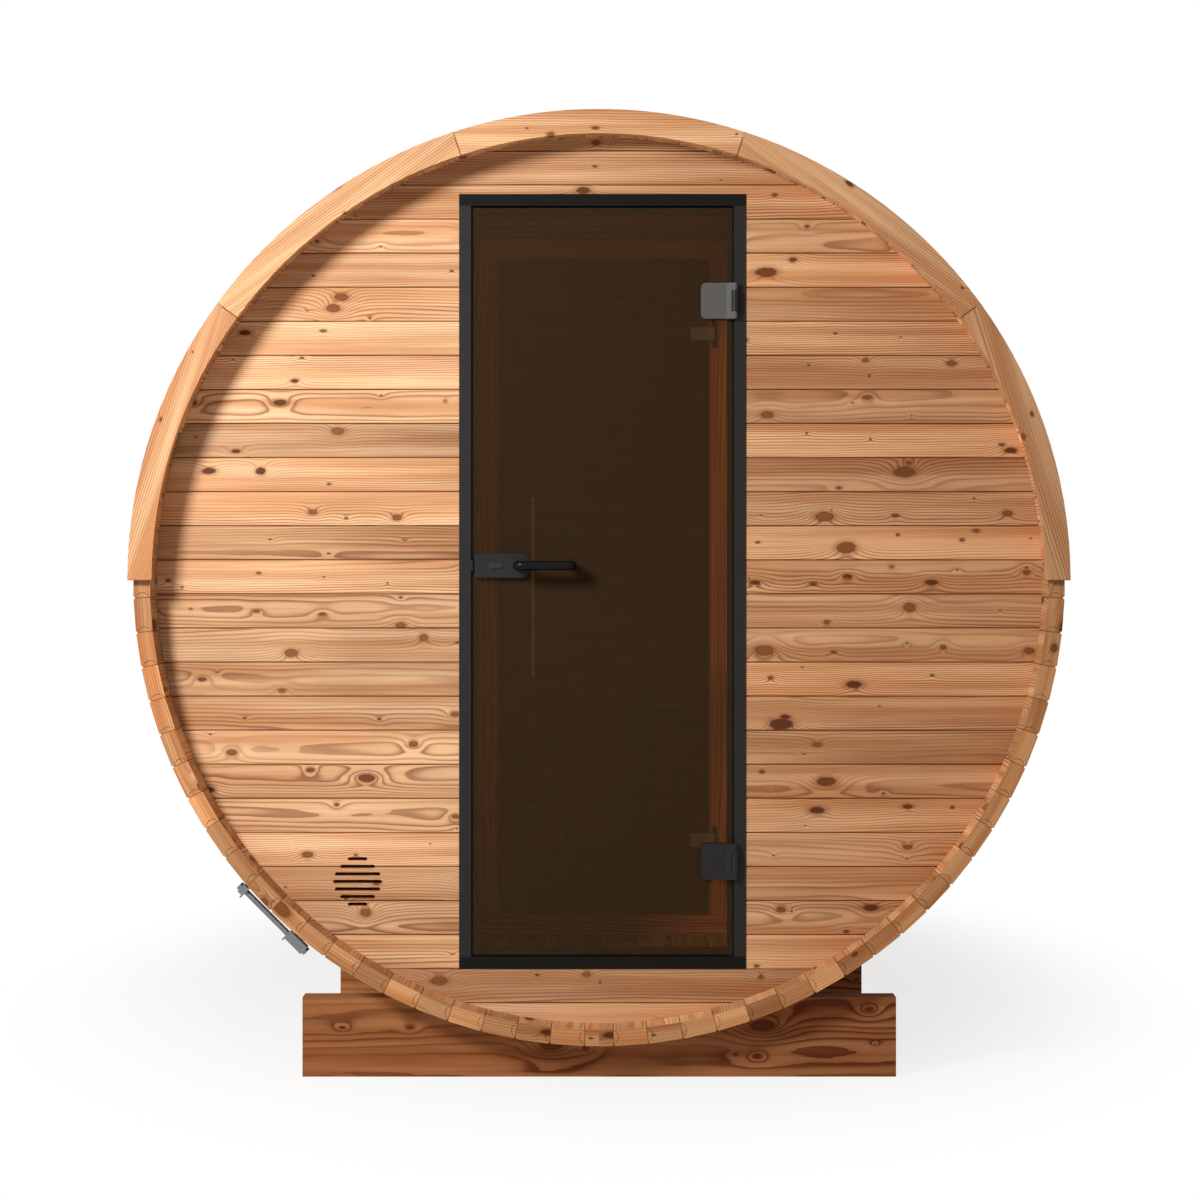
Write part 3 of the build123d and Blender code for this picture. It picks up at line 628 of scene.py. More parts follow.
def trim_wood(name):
    """Curved trim: each board is sawn from a straight plank, so its grain is straight."""
    finish = Finish(name, Specular_IOR_Level=0.10)
    x, y, z = finish.place()
    height = z - axis_z
    share = height.math("ARCTAN2", x) / trim_board_angle
    plank = share.math("FLOOR")
    place = share - plank - 0.5
    offset = place * trim_board_angle
    radius = (x * x + height * height).math("SQRT")
    along = radius * offset.math("SINE")
    across = radius * offset.math("COSINE") - trim_middle_radius
    board = plank + y.math("GREATER_THAN", 0.0) * rear_step + trim_number
    # Painted shade: each trim board darkens towards its joints.
    tint = painted_joint_shade_tint(finish, place.math("ABSOLUTE").above(0.4960, 0.0030), 0.97, 0.94, 0.90)
    wood(finish, along, across, y + half_length, board, ring_pitch=0.0060, spread=0.14, knots=0.42,
         flow=0.20, shift=0.13, lines=0.85, tint=tint)
    return finish.material


def beam_wood(name):
    """Cradle beams: coarse dark planks, the grain level across the barrel."""
    finish = Finish(name, Specular_IOR_Level=0.08)
    x, y, z = finish.place()
    board = stretch_number(y, beam_stretch) + beam_number
    tone = bpy.context.scene.sauna_wood.beam_tone
    wood(finish, x, z - beam_middle_z, y, board, ring_pitch=0.0062, tone=tone, spread=0.10,
         knots=0.75, flow=0.7, width=0.17, shift=0.20, lines=1.30, tint=(1.30, 0.93, 0.66))
    return finish.material


def casing_wood(name, upright):
    """Inner door casing: redder wood, its grain along each member."""
    finish = Finish(name, Specular_IOR_Level=0.08)
    x, y, z = finish.place()
    along, across = (z, x) if upright else (x, z)
    member = across.math("GREATER_THAN", door_middle if upright else axis_z)
    wood(finish, along, across, y, member + casing_number, tone=1.25, spread=0.12, knots=0.3,
         tint=(1.10, 0.93, 0.75))
    return finish.material


def floor_wood(name):
    """Floor boards: the grain runs from front to back."""
    finish = Finish(name, Specular_IOR_Level=0.08)
    x, y, z = finish.place()
    pitch = bpy.context.scene.sauna_boards.floor_pitch
    count = x / pitch
    row = count.math("FLOOR")
    board = row + y.math("GREATER_THAN", partition_low.y) * room_step + floor_number
    wood(finish, y, (count - row - 0.5) * pitch, z, board, tone=0.86)
    return finish.material


def bearer_wood(name):
    """Floor bearers: rough planks across the barrel under the decks."""
    finish = Finish(name, Specular_IOR_Level=0.08)
    x, y, z = finish.place()
    board = stretch_number(y, bearer_stretch) + bearer_number
    wood(finish, x, z, y, board, ring_pitch=0.0050, tone=0.70)
    return finish.material


def powder_coat(name, shade=1.0):
    """Matt black coat with a fine orange peel and slightly rubbed patches."""
    colour = tuple(bpy.context.scene.sauna_fittings.powder_coat)
    finish = Finish(name, Specular_IOR_Level=0.14 * shade)
    patch = finish.noise(finish.spot(), scale=9.0, detail=3.0)
    finish.coat(colour, patch, (0.85 * shade, 0.35 * shade), (0.40, 0.16))
    finish.bump(finish.noise(finish.spot(), scale=2600.0, detail=1.0), 0.20, 0.00012)
    return finish.material


def hinge_metal(name):
    """Satin coat of the front hinge plates, with a painted reflection that makes the upper one much
    paler.
    """
    finish = Finish(name, Specular_IOR_Level=0.14)
    x, y, z = finish.place()
    grain = finish.noise(finish.vector(x, y, z), scale=900.0, detail=2.0)
    black = tuple(bpy.context.scene.sauna_fittings.powder_coat)
    # Painted reflection: the colour blends from the black coat to pale grey as the height passes 1.0 to
    # 1.2 m, so the upper plate looks lit.
    finish.coat(finish.blend(z.above(1.0, 0.2), black, painted_sheen_plate), grain, (0.80, 0.40), (0.42, 0.12))
    return finish.material


def black_gloss(name):
    """Glossy black lacquer of the lever."""
    finish = Finish(name, Specular_IOR_Level=0.12)
    patch = finish.noise(finish.spot(), scale=30.0, detail=2.0)
    finish.coat(lacquer, patch, (0.85, 0.3), (0.20, 0.08))
    return finish.material


def satin_steel(name, shade):
    """Brushed steel of the inner door's pull bars and hinge plates."""
    finish = Finish(name, Metallic=0.3, Specular_IOR_Level=0.3)
    x, y, z = finish.place()
    brush = finish.noise(finish.vector(x * 900.0, y * 900.0, z * 12.0), detail=2.0)
    finish.coat(brushed_steel, brush, (0.85 * shade, 0.3 * shade), (0.38, 0.15))
    return finish.material


def bronze_glass(name):
    """Bronze tinted glass: a dark brown film over a clear pane that tints what is behind it."""
    look = bpy.context.scene.sauna_fittings
    finish = Finish(name, Specular_IOR_Level=0.05, IOR=1.5)
    patch = finish.noise(finish.spot(), scale=1.6, detail=2.0)
    finish.coat(tuple(look.glass), patch, (0.90, 0.2), (0.035, 0.03))
    clear = finish.add("ShaderNodeBsdfTransparent", None, {"Color": tuple(look.glass_clear)})
    finish.cover(look.glass_cover, clear, Wire(finish, finish.shader.outputs[0]))
    finish.material.surface_render_method = "BLENDED"
    return finish.material


def galvanised_steel(name):
    """Zinc coated steel with pale crystal flecks and fine scratches."""
    finish = Finish(name, Metallic=0.85, Specular_IOR_Level=0.5)
    spot = finish.spot()
    fleck = finish.add(
        "ShaderNodeTexVoronoi",
        {"voronoi_dimensions": "3D", "feature": "F1"},
        {"Vector": spot, "Scale": 190.0},
        outlet=1,
    )
    shade = finish.parts(fleck)[0]
    rub = finish.noise(spot, scale=60.0, detail=4.0)
    finish.set("Base Color", finish.tone(zinc, 0.80 + shade * 0.22 + rub * 0.16))
    finish.set("Roughness", 0.30 + rub * 0.22)
    finish.bump(rub, 0.12, 0.0002)
    return finish.material


def heater_steel(name):
    """Dark steel of the heater's basket and foot, dulled by heat."""
    finish = Finish(name, Metallic=0.7, Specular_IOR_Level=0.4)
    patch = finish.noise(finish.spot(), scale=24.0, detail=4.0)
    finish.set("Base Color", finish.blend(patch, heater_dark, heater_rubbed))
    finish.set("Roughness", 0.38 + patch * 0.2)
    finish.bump(finish.noise(finish.spot(), scale=900.0, detail=1.0), 0.15, 0.0002)
    return finish.material


def heater_stone(name):
    """Split dark stone with lighter mineral grains."""
    colour = tuple(bpy.context.scene.sauna_fittings.stone)
    finish = Finish(name, Specular_IOR_Level=0.25)
    mottle = finish.noise(finish.spot(), scale=22.0, detail=5.0, roughness=0.6)
    grain = finish.noise(finish.spot(), scale=420.0, detail=2.0)
    finish.set("Base Color", finish.tone(colour, 0.45 + mottle * 0.9 + (grain - 0.5) * 0.5))
    finish.set("Roughness", 0.78 + grain * 0.15)
    finish.bump(mottle * 0.7 + grain * 0.3, 0.6, 0.004)
    return finish.material


def black_rubber(name):
    """Soft black seal."""
    finish = Finish(name, Specular_IOR_Level=0.06)
    grain = finish.noise(finish.spot(), scale=1500.0, detail=1.0)
    finish.coat(seal_black, grain, (0.8, 0.4), (0.62, 0.1))
    return finish.material


def stage_paper(name):
    """Pale floor of the studio, plain white to the camera away from the object."""
    finish = Finish(name, Specular_IOR_Level=0.1, Roughness=0.9)
    x, y, _ = finish.place()
    grain = finish.noise(finish.vector(x, y), scale=5.0)
    finish.set("Base Color", finish.tone(stage_white, 0.995 + grain * 0.01))
    distance = (x * x + y * y * 0.6).math("SQRT")
    far = distance.above(0.9, 0.9) * 0.22 + 0.78
    glow = finish.add("ShaderNodeEmission", None, {"Color": white, "Strength": 1.0})
    finish.cover(finish.seen() * far, Wire(finish, finish.shader.outputs[0]), glow)
    return finish.material


# Finishes: the material's name, what makes it, and details. First of each slot, then of single pieces
slot_finishes = {
    "stave_wood": ("stave_wood", stave_wood),
    "wall_wood": ("wall_wood", wall_wood),
    "trim_wood": ("trim_wood", trim_wood),
    "beam_wood": ("beam_wood", beam_wood),
    "floor_wood": ("floor_wood", floor_wood),
    "casing_wood": ("casing_level", casing_wood, False),
    "black_metal": ("black_metal", powder_coat),
    "bronze_glass": ("bronze_glass", bronze_glass),
    "pale_steel": ("pale_steel", galvanised_steel),
    "heater_metal": ("heater_metal", heater_steel),
    "heater_stone": ("heater_stone", heater_stone),
}
piece_finishes = {
    # The head and sill use a darker copy of the powder coat: painted shade on the top and bottom rails of
    # the frame.
    "door_frame_head": ("black_metal_rail_painted_shade", powder_coat, 0.45),
    "door_frame_sill": ("black_metal_rail_painted_shade", powder_coat, 0.45),
    "key_cylinder": ("black_metal_key", powder_coat, 1.4),
    "door_hinge_clamps": ("black_metal_hinge_painted_sheen", hinge_metal),
    "door_lever": ("black_gloss", black_gloss),
    "inner_casing_jambs": ("casing_upright", casing_wood, True),
    "inner_door_pull_bars": ("satin_steel", satin_steel, 1.0),
    "inner_door_hinge_clamps": ("satin_steel_plate", satin_steel, 0.48),
    "floor_bearers": ("bearer_wood", bearer_wood),
}


def finish_named(name, maker, *details):
    """The material of that name, made on its first use."""
    return bpy.data.materials.get(name) or maker(name, *details)


def paint(obj, material):
    obj.data.materials.clear()
    obj.data.materials.append(material)


def closed_mesh(name, vertices, faces):
    """A mesh from vertices and faces, welded, with outward normals."""
    mesh = bpy.data.meshes.new(name)
    mesh.from_pydata(vertices.tolist(), [], faces)
    work = bmesh.new()
    work.from_mesh(mesh)
    bmesh.ops.remove_doubles(work, verts=work.verts, dist=1e-6)
    bmesh.ops.dissolve_degenerate(work, edges=work.edges, dist=1e-6)
    bmesh.ops.recalc_face_normals(work, faces=work.faces)
    work.to_mesh(mesh)
    work.free()
    return mesh


def add_piece(name, solid, material, body, replaced=(), smooth=False):
    """A piece from its vertices and faces, with the material of that name, that rides on a body."""
    mesh = closed_mesh(name, *solid)
    mesh.polygons.foreach_set("use_smooth", [smooth] * len(mesh.polygons))
    piece = bpy.data.objects.new(name, mesh)
    bpy.context.scene.collection.objects.link(piece)
    paint(piece, bpy.data.materials[material])
    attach(piece, body)
    if replaced:
        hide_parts(*replaced)
    return piece


def prisms(sections):
    """Closed prisms from an array of loops, shaped pieces, steps along, points round, and x y z.

    Each pair of neighbouring loops is joined by quads, and the first and last loop are capped.
    """
    pieces, steps, points, _ = sections.shape
    index = np.arange(pieces * steps * points).reshape(pieces, steps, points)
    ahead = np.roll(index, -1, axis=2)
    quads = np.stack([index[:, :-1], ahead[:, :-1], ahead[:, 1:], index[:, 1:]], axis=-1)
    caps = np.concatenate([index[:, 0, ::-1], index[:, -1]])
    return sections.reshape(-1, 3), quads.reshape(-1, 4).tolist() + caps.tolist()


def prisms_at(x, y, z):
    """Closed prisms from the x, y and z of their loops, each array spread over the others."""
    return prisms(np.stack(np.broadcast_arrays(x, y, z), axis=-1))


def merged(*solids):
    """Several lists of vertices and faces as one."""
    vertices = np.concatenate([solid[0] for solid in solids])
    starts = np.cumsum([0] + [len(solid[0]) for solid in solids[:-1]])
    faces = [
        [corner + start for corner in face] for solid, start in zip(solids, starts) for face in solid[1]
    ]
    return vertices, faces


def board_section(low, high, front, back, joint_below, joint_above, chamfer):
    """One board's outline as heights and depths: bevelled edges, a tongue above, a groove below.

    Where the board is cut at the edge of the wall and not at a joint, its edge is plain.
    """
    below = 1.0 if joint_below else 0.0
    above = 1.0 if joint_above else 0.0
    bottom = low + joint_gap / 2 * below
    top = high - joint_gap / 2 * above
    tongue = front + tongue_front
    tongue_back = tongue + tongue_thickness
    groove = tongue_reach * below
    reach = tongue_reach * above
    gap = seat_gap * above
    bevel_below = chamfer * below
    bevel_above = chamfer * above
    shares = (0.25, 0.5, 0.75)
    face_low, face_high = bottom + bevel_below, top - bevel_above
    face = [(face_low + (face_high - face_low) * share, front) for share in shares]
    rear = [(face_high - (face_high - face_low) * share, back) for share in shares]
    return np.array(
        [
            (face_low, front),
            *face,
            (face_high, front),
            (top, front + bevel_above),
            (top, tongue),
            (top + reach, tongue + gap),
            (top + reach, tongue_back - gap),
            (top, tongue_back),
            (top, back - bevel_above),
            (face_high, back),
            *rear,
            (face_low, back),
            (bottom, back - bevel_below),
            (bottom, tongue_back),
            (bottom + groove, tongue_back),
            (bottom + groove, tongue),
            (bottom, tongue),
            (bottom, front + bevel_below),
        ]
    )


def wall_boards(low_z, high_z, left_x, right_x, front, back):
    """Level boards that fill part of a round wall: each outline point runs from edge to edge.

    The ends follow the circle, at plus or minus the root of the radius squared less the height
    squared, or stop at left_x and right_x.
    """
    boards = bpy.context.scene.sauna_boards
    edge = wall_radius - board_backing
    low_z = max(low_z, axis_z - edge)
    high_z = min(high_z, axis_z + edge)
    first = int(np.floor((low_z - board_joint_z) / boards.pitch + 0.02))
    last = int(np.ceil((high_z - board_joint_z) / boards.pitch - 0.02))
    joints = board_joint_z + boards.pitch * np.arange(first, last + 1)
    edges = np.clip(joints, low_z, high_z)
    last_row = len(edges) - 2
    outline = np.array(
        [
            board_section(edges[n], edges[n + 1], front, back, n > 0, n < last_row, boards.chamfer)
            for n in range(last_row + 1)
        ]
    )
    heights, depths = outline[..., 0], outline[..., 1]
    half = np.sqrt(np.maximum(wall_radius**2 - (heights - axis_z) ** 2, 1e-6))
    ends = np.stack([np.maximum(-half, left_x), np.minimum(half, right_x)], axis=1)
    return prisms_at(ends, depths[:, None, :], heights[:, None, :])


def slot_prisms(front, back):
    """The vent's slots as rounded bars: a half circle at each end of a straight run.

    Each half circle follows the cosine and the sine of a half turn, times half the slot's height.
    """
    turn = np.linspace(-pi / 2, pi / 2, 9)
    end = vent_slot_height / 2
    lengths = np.array(vent_slot_lengths)[:, None]
    rows = np.arange(len(lengths))[:, None] - (len(lengths) - 1) / 2
    right_x = lengths / 2 - end + end * np.cos(turn)
    rise = np.broadcast_to(end * np.sin(turn), right_x.shape)
    loop_x = np.concatenate([right_x, -right_x], axis=1) + vent_middle[0]
    loop_z = np.concatenate([rise, -rise], axis=1) + rows * vent_pitch + vent_middle[1]
    depth = np.array([[front - cutter_overshoot], [back + cutter_overshoot]])
    return prisms_at(loop_x[:, None, :], depth, loop_z[:, None, :])


def cut_out(piece, vertices, faces):
    """Cuts the shapes out of a piece and keeps the result as its plain mesh."""
    mesh = closed_mesh("cutter", vertices, faces)
    cutter = bpy.data.objects.new("cutter", mesh)
    bpy.context.scene.collection.objects.link(cutter)
    cut = piece.modifiers.new("slots", "BOOLEAN")
    cut.object = cutter
    cut.operation = "DIFFERENCE"
    cut.solver = "EXACT"
    bpy.context.view_layer.update()
    result = bpy.data.meshes.new_from_object(piece.evaluated_get(bpy.context.evaluated_depsgraph_get()))
    piece.modifiers.clear()
    old = piece.data
    piece.data = result
    bpy.data.meshes.remove(old)
    bpy.data.objects.remove(cutter)
    bpy.data.meshes.remove(mesh)


def bar(centre, upwards, sideways, places, radii, sides):
    """A bar along the cross product of sideways and upwards, through a centre.

    At each place along it stands a ring of points: its radius times the cosine of the turn upwards
    and times the sine of the turn sideways.
    """
    turn = np.linspace(0.0, 2 * pi, sides, endpoint=False)[:, None]
    along = np.cross(sideways, upwards)
    ring = np.cos(turn) * upwards + np.sin(turn) * sideways
    loops = centre + np.reshape(places, (-1, 1, 1)) * along + np.reshape(radii, (-1, 1, 1)) * ring
    return prisms(loops[None])


class SAUNA_OT_finishes(bpy.types.Operator):
    """Gives every solid of the frame its finish"""

    bl_idname = "sauna.finishes"
    bl_label = "Finishes"

    def execute(self, context):
        for plain in list(bpy.data.materials):
            bpy.data.materials.remove(plain)
        slots = {part["node"]: part["material_slot"] for part in frame["record"]["subparts"]}
        for name, obj in nodes.items():
            paint(obj, finish_named(*piece_finishes.get(name, slot_finishes[slots[name]])))
        return {"FINISHED"}


def add_walls(regions, low, high):
    """Boards in place of each plain solid of a wall: its lowest, highest, left and right limits."""
    pieces = {}
    for node, region in regions.items():
        solid = wall_boards(*region, low.y, high.y)
        pieces[node] = add_piece(node + "_boards", solid, "wall_wood", "barrel", (node,))
    return pieces


class SAUNA_OT_front_wall(bpy.types.Operator):
    """Builds the recessed front wall from level boards, with the vent cut through them"""

    bl_idname = "sauna.front_wall"
    bl_label = "Front wall boards"

    def execute(self, context):
        wide = barrel_radius
        regions = {
            "front_wall_left": (vent_high.z, frame_top, -wide, frame_left),
            "front_wall_right": (frame_bottom, frame_top, frame_right, wide),
            "front_wall_top": (frame_top, axis_z + wide, -wide, wide),
            "front_wall_bottom": (axis_z - wide, frame_bottom, -wide, wide),
            "front_wall_vent_boards": (frame_bottom, vent_high.z, -wide, frame_left),
        }
        pieces = add_walls(regions, front_low, front_high)
        cut_out(pieces["front_wall_vent_boards"], *slot_prisms(front_low.y, front_high.y))
        return {"FINISHED"}


class SAUNA_OT_inner_walls(bpy.types.Operator):
    """Builds the partition round the inner door and the plain rear wall from level boards"""

    bl_idname = "sauna.inner_walls"
    bl_label = "Inner walls"

    def execute(self, context):
        wide = barrel_radius
        regions = {
            "partition_left": (threshold_low.z, casing_high.z, -wide, casing_low.x),
            "partition_right": (threshold_low.z, casing_high.z, casing_high.x, wide),
            "partition_top": (casing_high.z, axis_z + wide, -wide, wide),
            "partition_bottom": (axis_z - wide, threshold_low.z, -wide, wide),
        }
        add_walls(regions, partition_low, partition_high)
        add_walls({"rear_wall": (axis_z - wide, axis_z + wide, -wide, wide)}, wall_low, wall_high)
        return {"FINISHED"}


def floor_boards(low, high):
    """Boards from front to back with bevelled edges, cut to the round of the barrel.

    Their sides stop at plus or minus the root of the radius squared less the height squared.
    """
    boards = bpy.context.scene.sauna_boards
    count = int(np.ceil(high.x / boards.floor_pitch))
    left = boards.floor_pitch * np.arange(-count, count) + boards.floor_gap / 2
    right = left + boards.floor_pitch - boards.floor_gap
    shoulder = high.z - floor_bevel
    loop_z = np.array([low.z, low.z, shoulder, high.z, high.z, shoulder])
    loop_x = np.stack([left, right, right, right - floor_bevel, left + floor_bevel, left], axis=-1)
    limit = np.sqrt((stave_inner_radius - floor_edge_gap) ** 2 - (loop_z - axis_z) ** 2)
    loop_x = np.clip(loop_x, -limit, limit)
    kept = loop_x.max(axis=1) - loop_x.min(axis=1) > narrowest_floor_board
    return prisms_at(loop_x[kept][:, None, :], np.array([[low.y], [high.y]]), loop_z)


class SAUNA_OT_floor(bpy.types.Operator):
    """Lays the floor boards of both rooms from front to back"""

    bl_idname = "sauna.floor"
    bl_label = "Floor boards"

    def execute(self, context):
        for node in ("vestibule_floor", "hot_room_floor"):
            solid = floor_boards(*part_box(node))
            add_piece(node + "_boards", solid, "floor_wood", "barrel", (node,))
        return {"FINISHED"}


def seal_ring(left, right, low, high, y_front, y_back, width):
    """A soft seal round a doorway: a rounded section carried round a rectangle with mitred corners.

    Over a half turn its depth follows the sine, and its distance from the edge one less the cosine.
    """
    turn = np.linspace(0.0, pi, 7)
    depth = np.concatenate([[y_back], y_back - (y_back - y_front) * np.sin(turn), [y_back]])
    inset = np.concatenate([[0.0], width * (0.5 - 0.5 * np.cos(turn)), [width]])
    corners = np.array(
        [(left, low, 1, 1), (right, low, -1, 1), (right, high, -1, -1), (left, high, 1, -1)]
    )
    x = corners[:, 0, None] + corners[:, 2, None] * inset
    z = corners[:, 1, None] + corners[:, 3, None] * inset
    y = np.broadcast_to(depth, x.shape)
    loops = np.stack([x, y, z], axis=-1)
    points = len(depth)
    index = np.arange(4 * points).reshape(4, points)
    nearer = np.roll(index, -1, axis=1)
    ahead = np.roll(index, -1, axis=0)
    ahead_nearer = np.roll(nearer, -1, axis=0)
    quads = np.stack([index, nearer, ahead_nearer, ahead], axis=-1).reshape(-1, 4)
    return loops.reshape(-1, 3), quads.tolist()


class SAUNA_OT_door_seals(bpy.types.Operator):
    """Adds the soft seals that the two glass leaves close against"""

    bl_idname = "sauna.door_seals"
    bl_label = "Door seals"

    def execute(self, context):
        finish_named("black_rubber", black_rubber)
        for name, low, high in (
            ("front_door_seal", leaf_low, leaf_high),
            ("inner_door_seal", inner_leaf_low, inner_leaf_high),
        ):
            front = high.y + seal_gap
            solid = seal_ring(
                low.x + seal_inset, high.x - seal_inset, low.z + seal_inset, high.z - seal_inset,
                front, front + seal_thickness, seal_width,
            )
            add_piece(name, solid, "black_rubber", "barrel", smooth=True)
        return {"FINISHED"}


def stone_places(low, high, random):
    """Middles of the stones, on a spiral up the side of the heap and over its dome.

    On the side the height rises evenly. On the dome the distance from the middle is the radius times
    the cosine of the lean, and the height the radius times its sine. The dome's top keeps few stones.
    """
    radius = (high.x - low.x) / 2
    dome = high.z - radius
    shell = radius - heap_inset
    number = np.arange(stone_count)
    turn = number * stone_turn
    side_height = dome - low.z - heap_foot
    rise = (number + 0.5) / stone_count * (side_height + radius * pi / 2)
    on_side = rise < side_height
    lean = np.clip((rise - side_height) / radius, 0.0, pi / 2)
    taper = taper_depth * np.clip(1.0 - rise / taper_height, 0.0, 1.0) ** 2
    ring = np.where(on_side, shell - taper, shell * np.cos(lean))
    height = np.where(on_side, low.z + heap_foot + rise, dome + shell * np.sin(lean))
    centres = np.stack([ring * np.cos(turn), ring * np.sin(turn), height], axis=-1)
    share = np.where(on_side, 1.0, np.clip(np.cos(lean) + 0.25, 0.0, 1.0))
    return centres[random.random(stone_count) < share]


def split_stones(stones, random):
    """Stones round the origin: a ball pressed in to each of its flats, stretched and turned at random.

    Each corner moves inwards by the share of its way past the furthest flat that it crosses.
    """
    seed = bmesh.new()
    bmesh.ops.create_icosphere(seed, subdivisions=2, radius=1.0)
    ball = np.array([corner.co for corner in seed.verts])
    triangles = np.array([[corner.index for corner in face.verts] for face in seed.faces])
    seed.free()
    flats = random.normal(size=(stones, stone_flats, 3))
    flats /= np.linalg.norm(flats, axis=-1, keepdims=True)
    cut = flat_distance + flat_spread * random.random((stones, stone_flats))
    over = np.einsum("vc,sfc->svf", ball, flats) - cut[:, None, :]
    shrink = 1.0 - np.clip(over, 0.0, None).max(axis=-1) * flat_depth
    sizes = [least + more * random.random(stones) for least, more in stone_sizes]
    turns, _ = np.linalg.qr(random.normal(size=(stones, 3, 3)))
    shape = ball * shrink[..., None] * np.stack(sizes, axis=-1)[:, None, :]
    faces = triangles + (np.arange(stones) * len(ball))[:, None, None]
    return np.einsum("svc,scd->svd", shape, turns), faces.reshape(-1, 3)


class SAUNA_OT_heater_stones(bpy.types.Operator):
    """Heaps split stones in the heater's basket, round a plain core that closes the gaps"""

    bl_idname = "sauna.heater_stones"
    bl_label = "Heater stones"

    def execute(self, context):
        low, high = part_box("heater_stones")
        radius = (high.x - low.x) / 2
        middle = (low + high) / 2
        dome = high.z - radius
        seat = low.z + basket_seat
        random = np.random.default_rng(11)
        centres = stone_places(low, high, random)
        shape, faces = split_stones(len(centres), random)
        shape += centres[:, None, :]
        reach = np.linalg.norm(shape[..., :2], axis=-1, keepdims=True)
        shape[..., :2] *= np.minimum(1.0, (radius + basket_overlap) / np.maximum(reach, 1e-6))
        shape += (middle.x, middle.y, 0.0)
        shape[..., 2] = np.clip(shape[..., 2], seat, high.z)
        turn = np.linspace(0.0, 2 * pi, 28, endpoint=False)
        wide = radius - core_inset
        shoulder = dome + radius * core_shoulder_rise
        heights = (seat, low.z + taper_height, dome, shoulder, high.z - core_drop)
        radii = (radius - core_foot_inset, wide, wide, radius * core_shoulder, radius * core_tip)
        ring = np.array(radii)[:, None]
        core = prisms_at(
            (middle.x + ring * np.cos(turn))[None],
            (middle.y + ring * np.sin(turn))[None],
            np.array(heights)[:, None],
        )
        add_piece(
            "heater_stone_heap", merged((shape.reshape(-1, 3), faces.tolist()), core),
            "heater_stone", "barrel", ("heater_stones",),
        )
        return {"FINISHED"}


class SAUNA_OT_band_fastenings(bpy.types.Operator):
    """Adds the nuts and threads of the band tensioners"""

    bl_idname = "sauna.band_fastenings"
    bl_label = "Band fastenings"

    def execute(self, context):
        _, bands_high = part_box("steel_bands")
        low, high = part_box("band_tensioners")
        beam_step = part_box("cradle_beam_mid_front")[0].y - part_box("cradle_beam_front")[0].y
        first = low.y + band_width / 2
        last = high.y - band_width / 2
        upwards = np.array([sqrt(0.5), 0.0, sqrt(0.5)])
        sideways = np.array([0.0, 1.0, 0.0])
        distance = bands_high.x + rod_distance
        reach = distance * np.tan(tab_angle) + tab_gap
        end = reach - rod_inset
        # Every second ring of the rod is narrower by the depth of the thread
        steps = int(round(4 * end / thread_pitch)) + 1
        thread = rod_radius * (1.0 - thread_depth * (np.arange(steps) % 2))
        nut_corner = nut_width / sqrt(3.0)
        solids = []
        for middle in (first, first + beam_step, last - beam_step, last):
            centre = (0.0, middle, axis_z) - upwards * distance
            rod_places = np.linspace(-end, end, steps)
            solids.append(bar(centre, upwards, sideways, rod_places, thread, 12))
            for start in (reach + spring_box_length, -reach - block_length - nut_thickness):
                nut_places = (start, start + nut_thickness)
                solids.append(bar(centre, upwards, sideways, nut_places, (nut_corner, nut_corner), 6))
        add_piece("tensioner_nuts", merged(*solids), "pale_steel", "barrel")
        return {"FINISHED"}


def screw(x, y, z, radius, height, sides=24):
    """A flat screw head on a plate's rear face, as a short bar towards the rear."""
    return bar((x, y, z), (1.0, 0.0, 0.0), (0.0, 0.0, 1.0), (0.0, height), (radius, radius), sides)


class SAUNA_OT_door_fastenings(bpy.types.Operator):
    """Adds the screws of the hinge plates of both leaves"""

    bl_idname = "sauna.door_fastenings"
    bl_label = "Door fastenings"

    def execute(self, context):
        low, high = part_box("door_hinge_clamps")
        solids = []
        for middle in (low.z + plate_middle, high.z - plate_middle):
            for z in (middle - screw_lift, middle + screw_lift):
                x = low.x + screw_inset
                solids.append(screw(x, high.y, z, screw_radius, screw_height))
                solids.append(screw(x, high.y + screw_height, z, key_radius, key_height, 6))
        add_piece("hinge_screws", merged(*solids), "black_metal", "front_door")
        low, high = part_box("inner_door_hinge_clamps")
        solids = [
            screw(low.x + inset, high.y, z, inner_screw_radius, inner_screw_height)
            for z in (low.z + inner_plate_middle, high.z - inner_plate_middle)
            for inset in inner_screw_insets
        ]
        add_piece("inner_hinge_screws", merged(*solids), "black_metal", "inner_door")
        return {"FINISHED"}


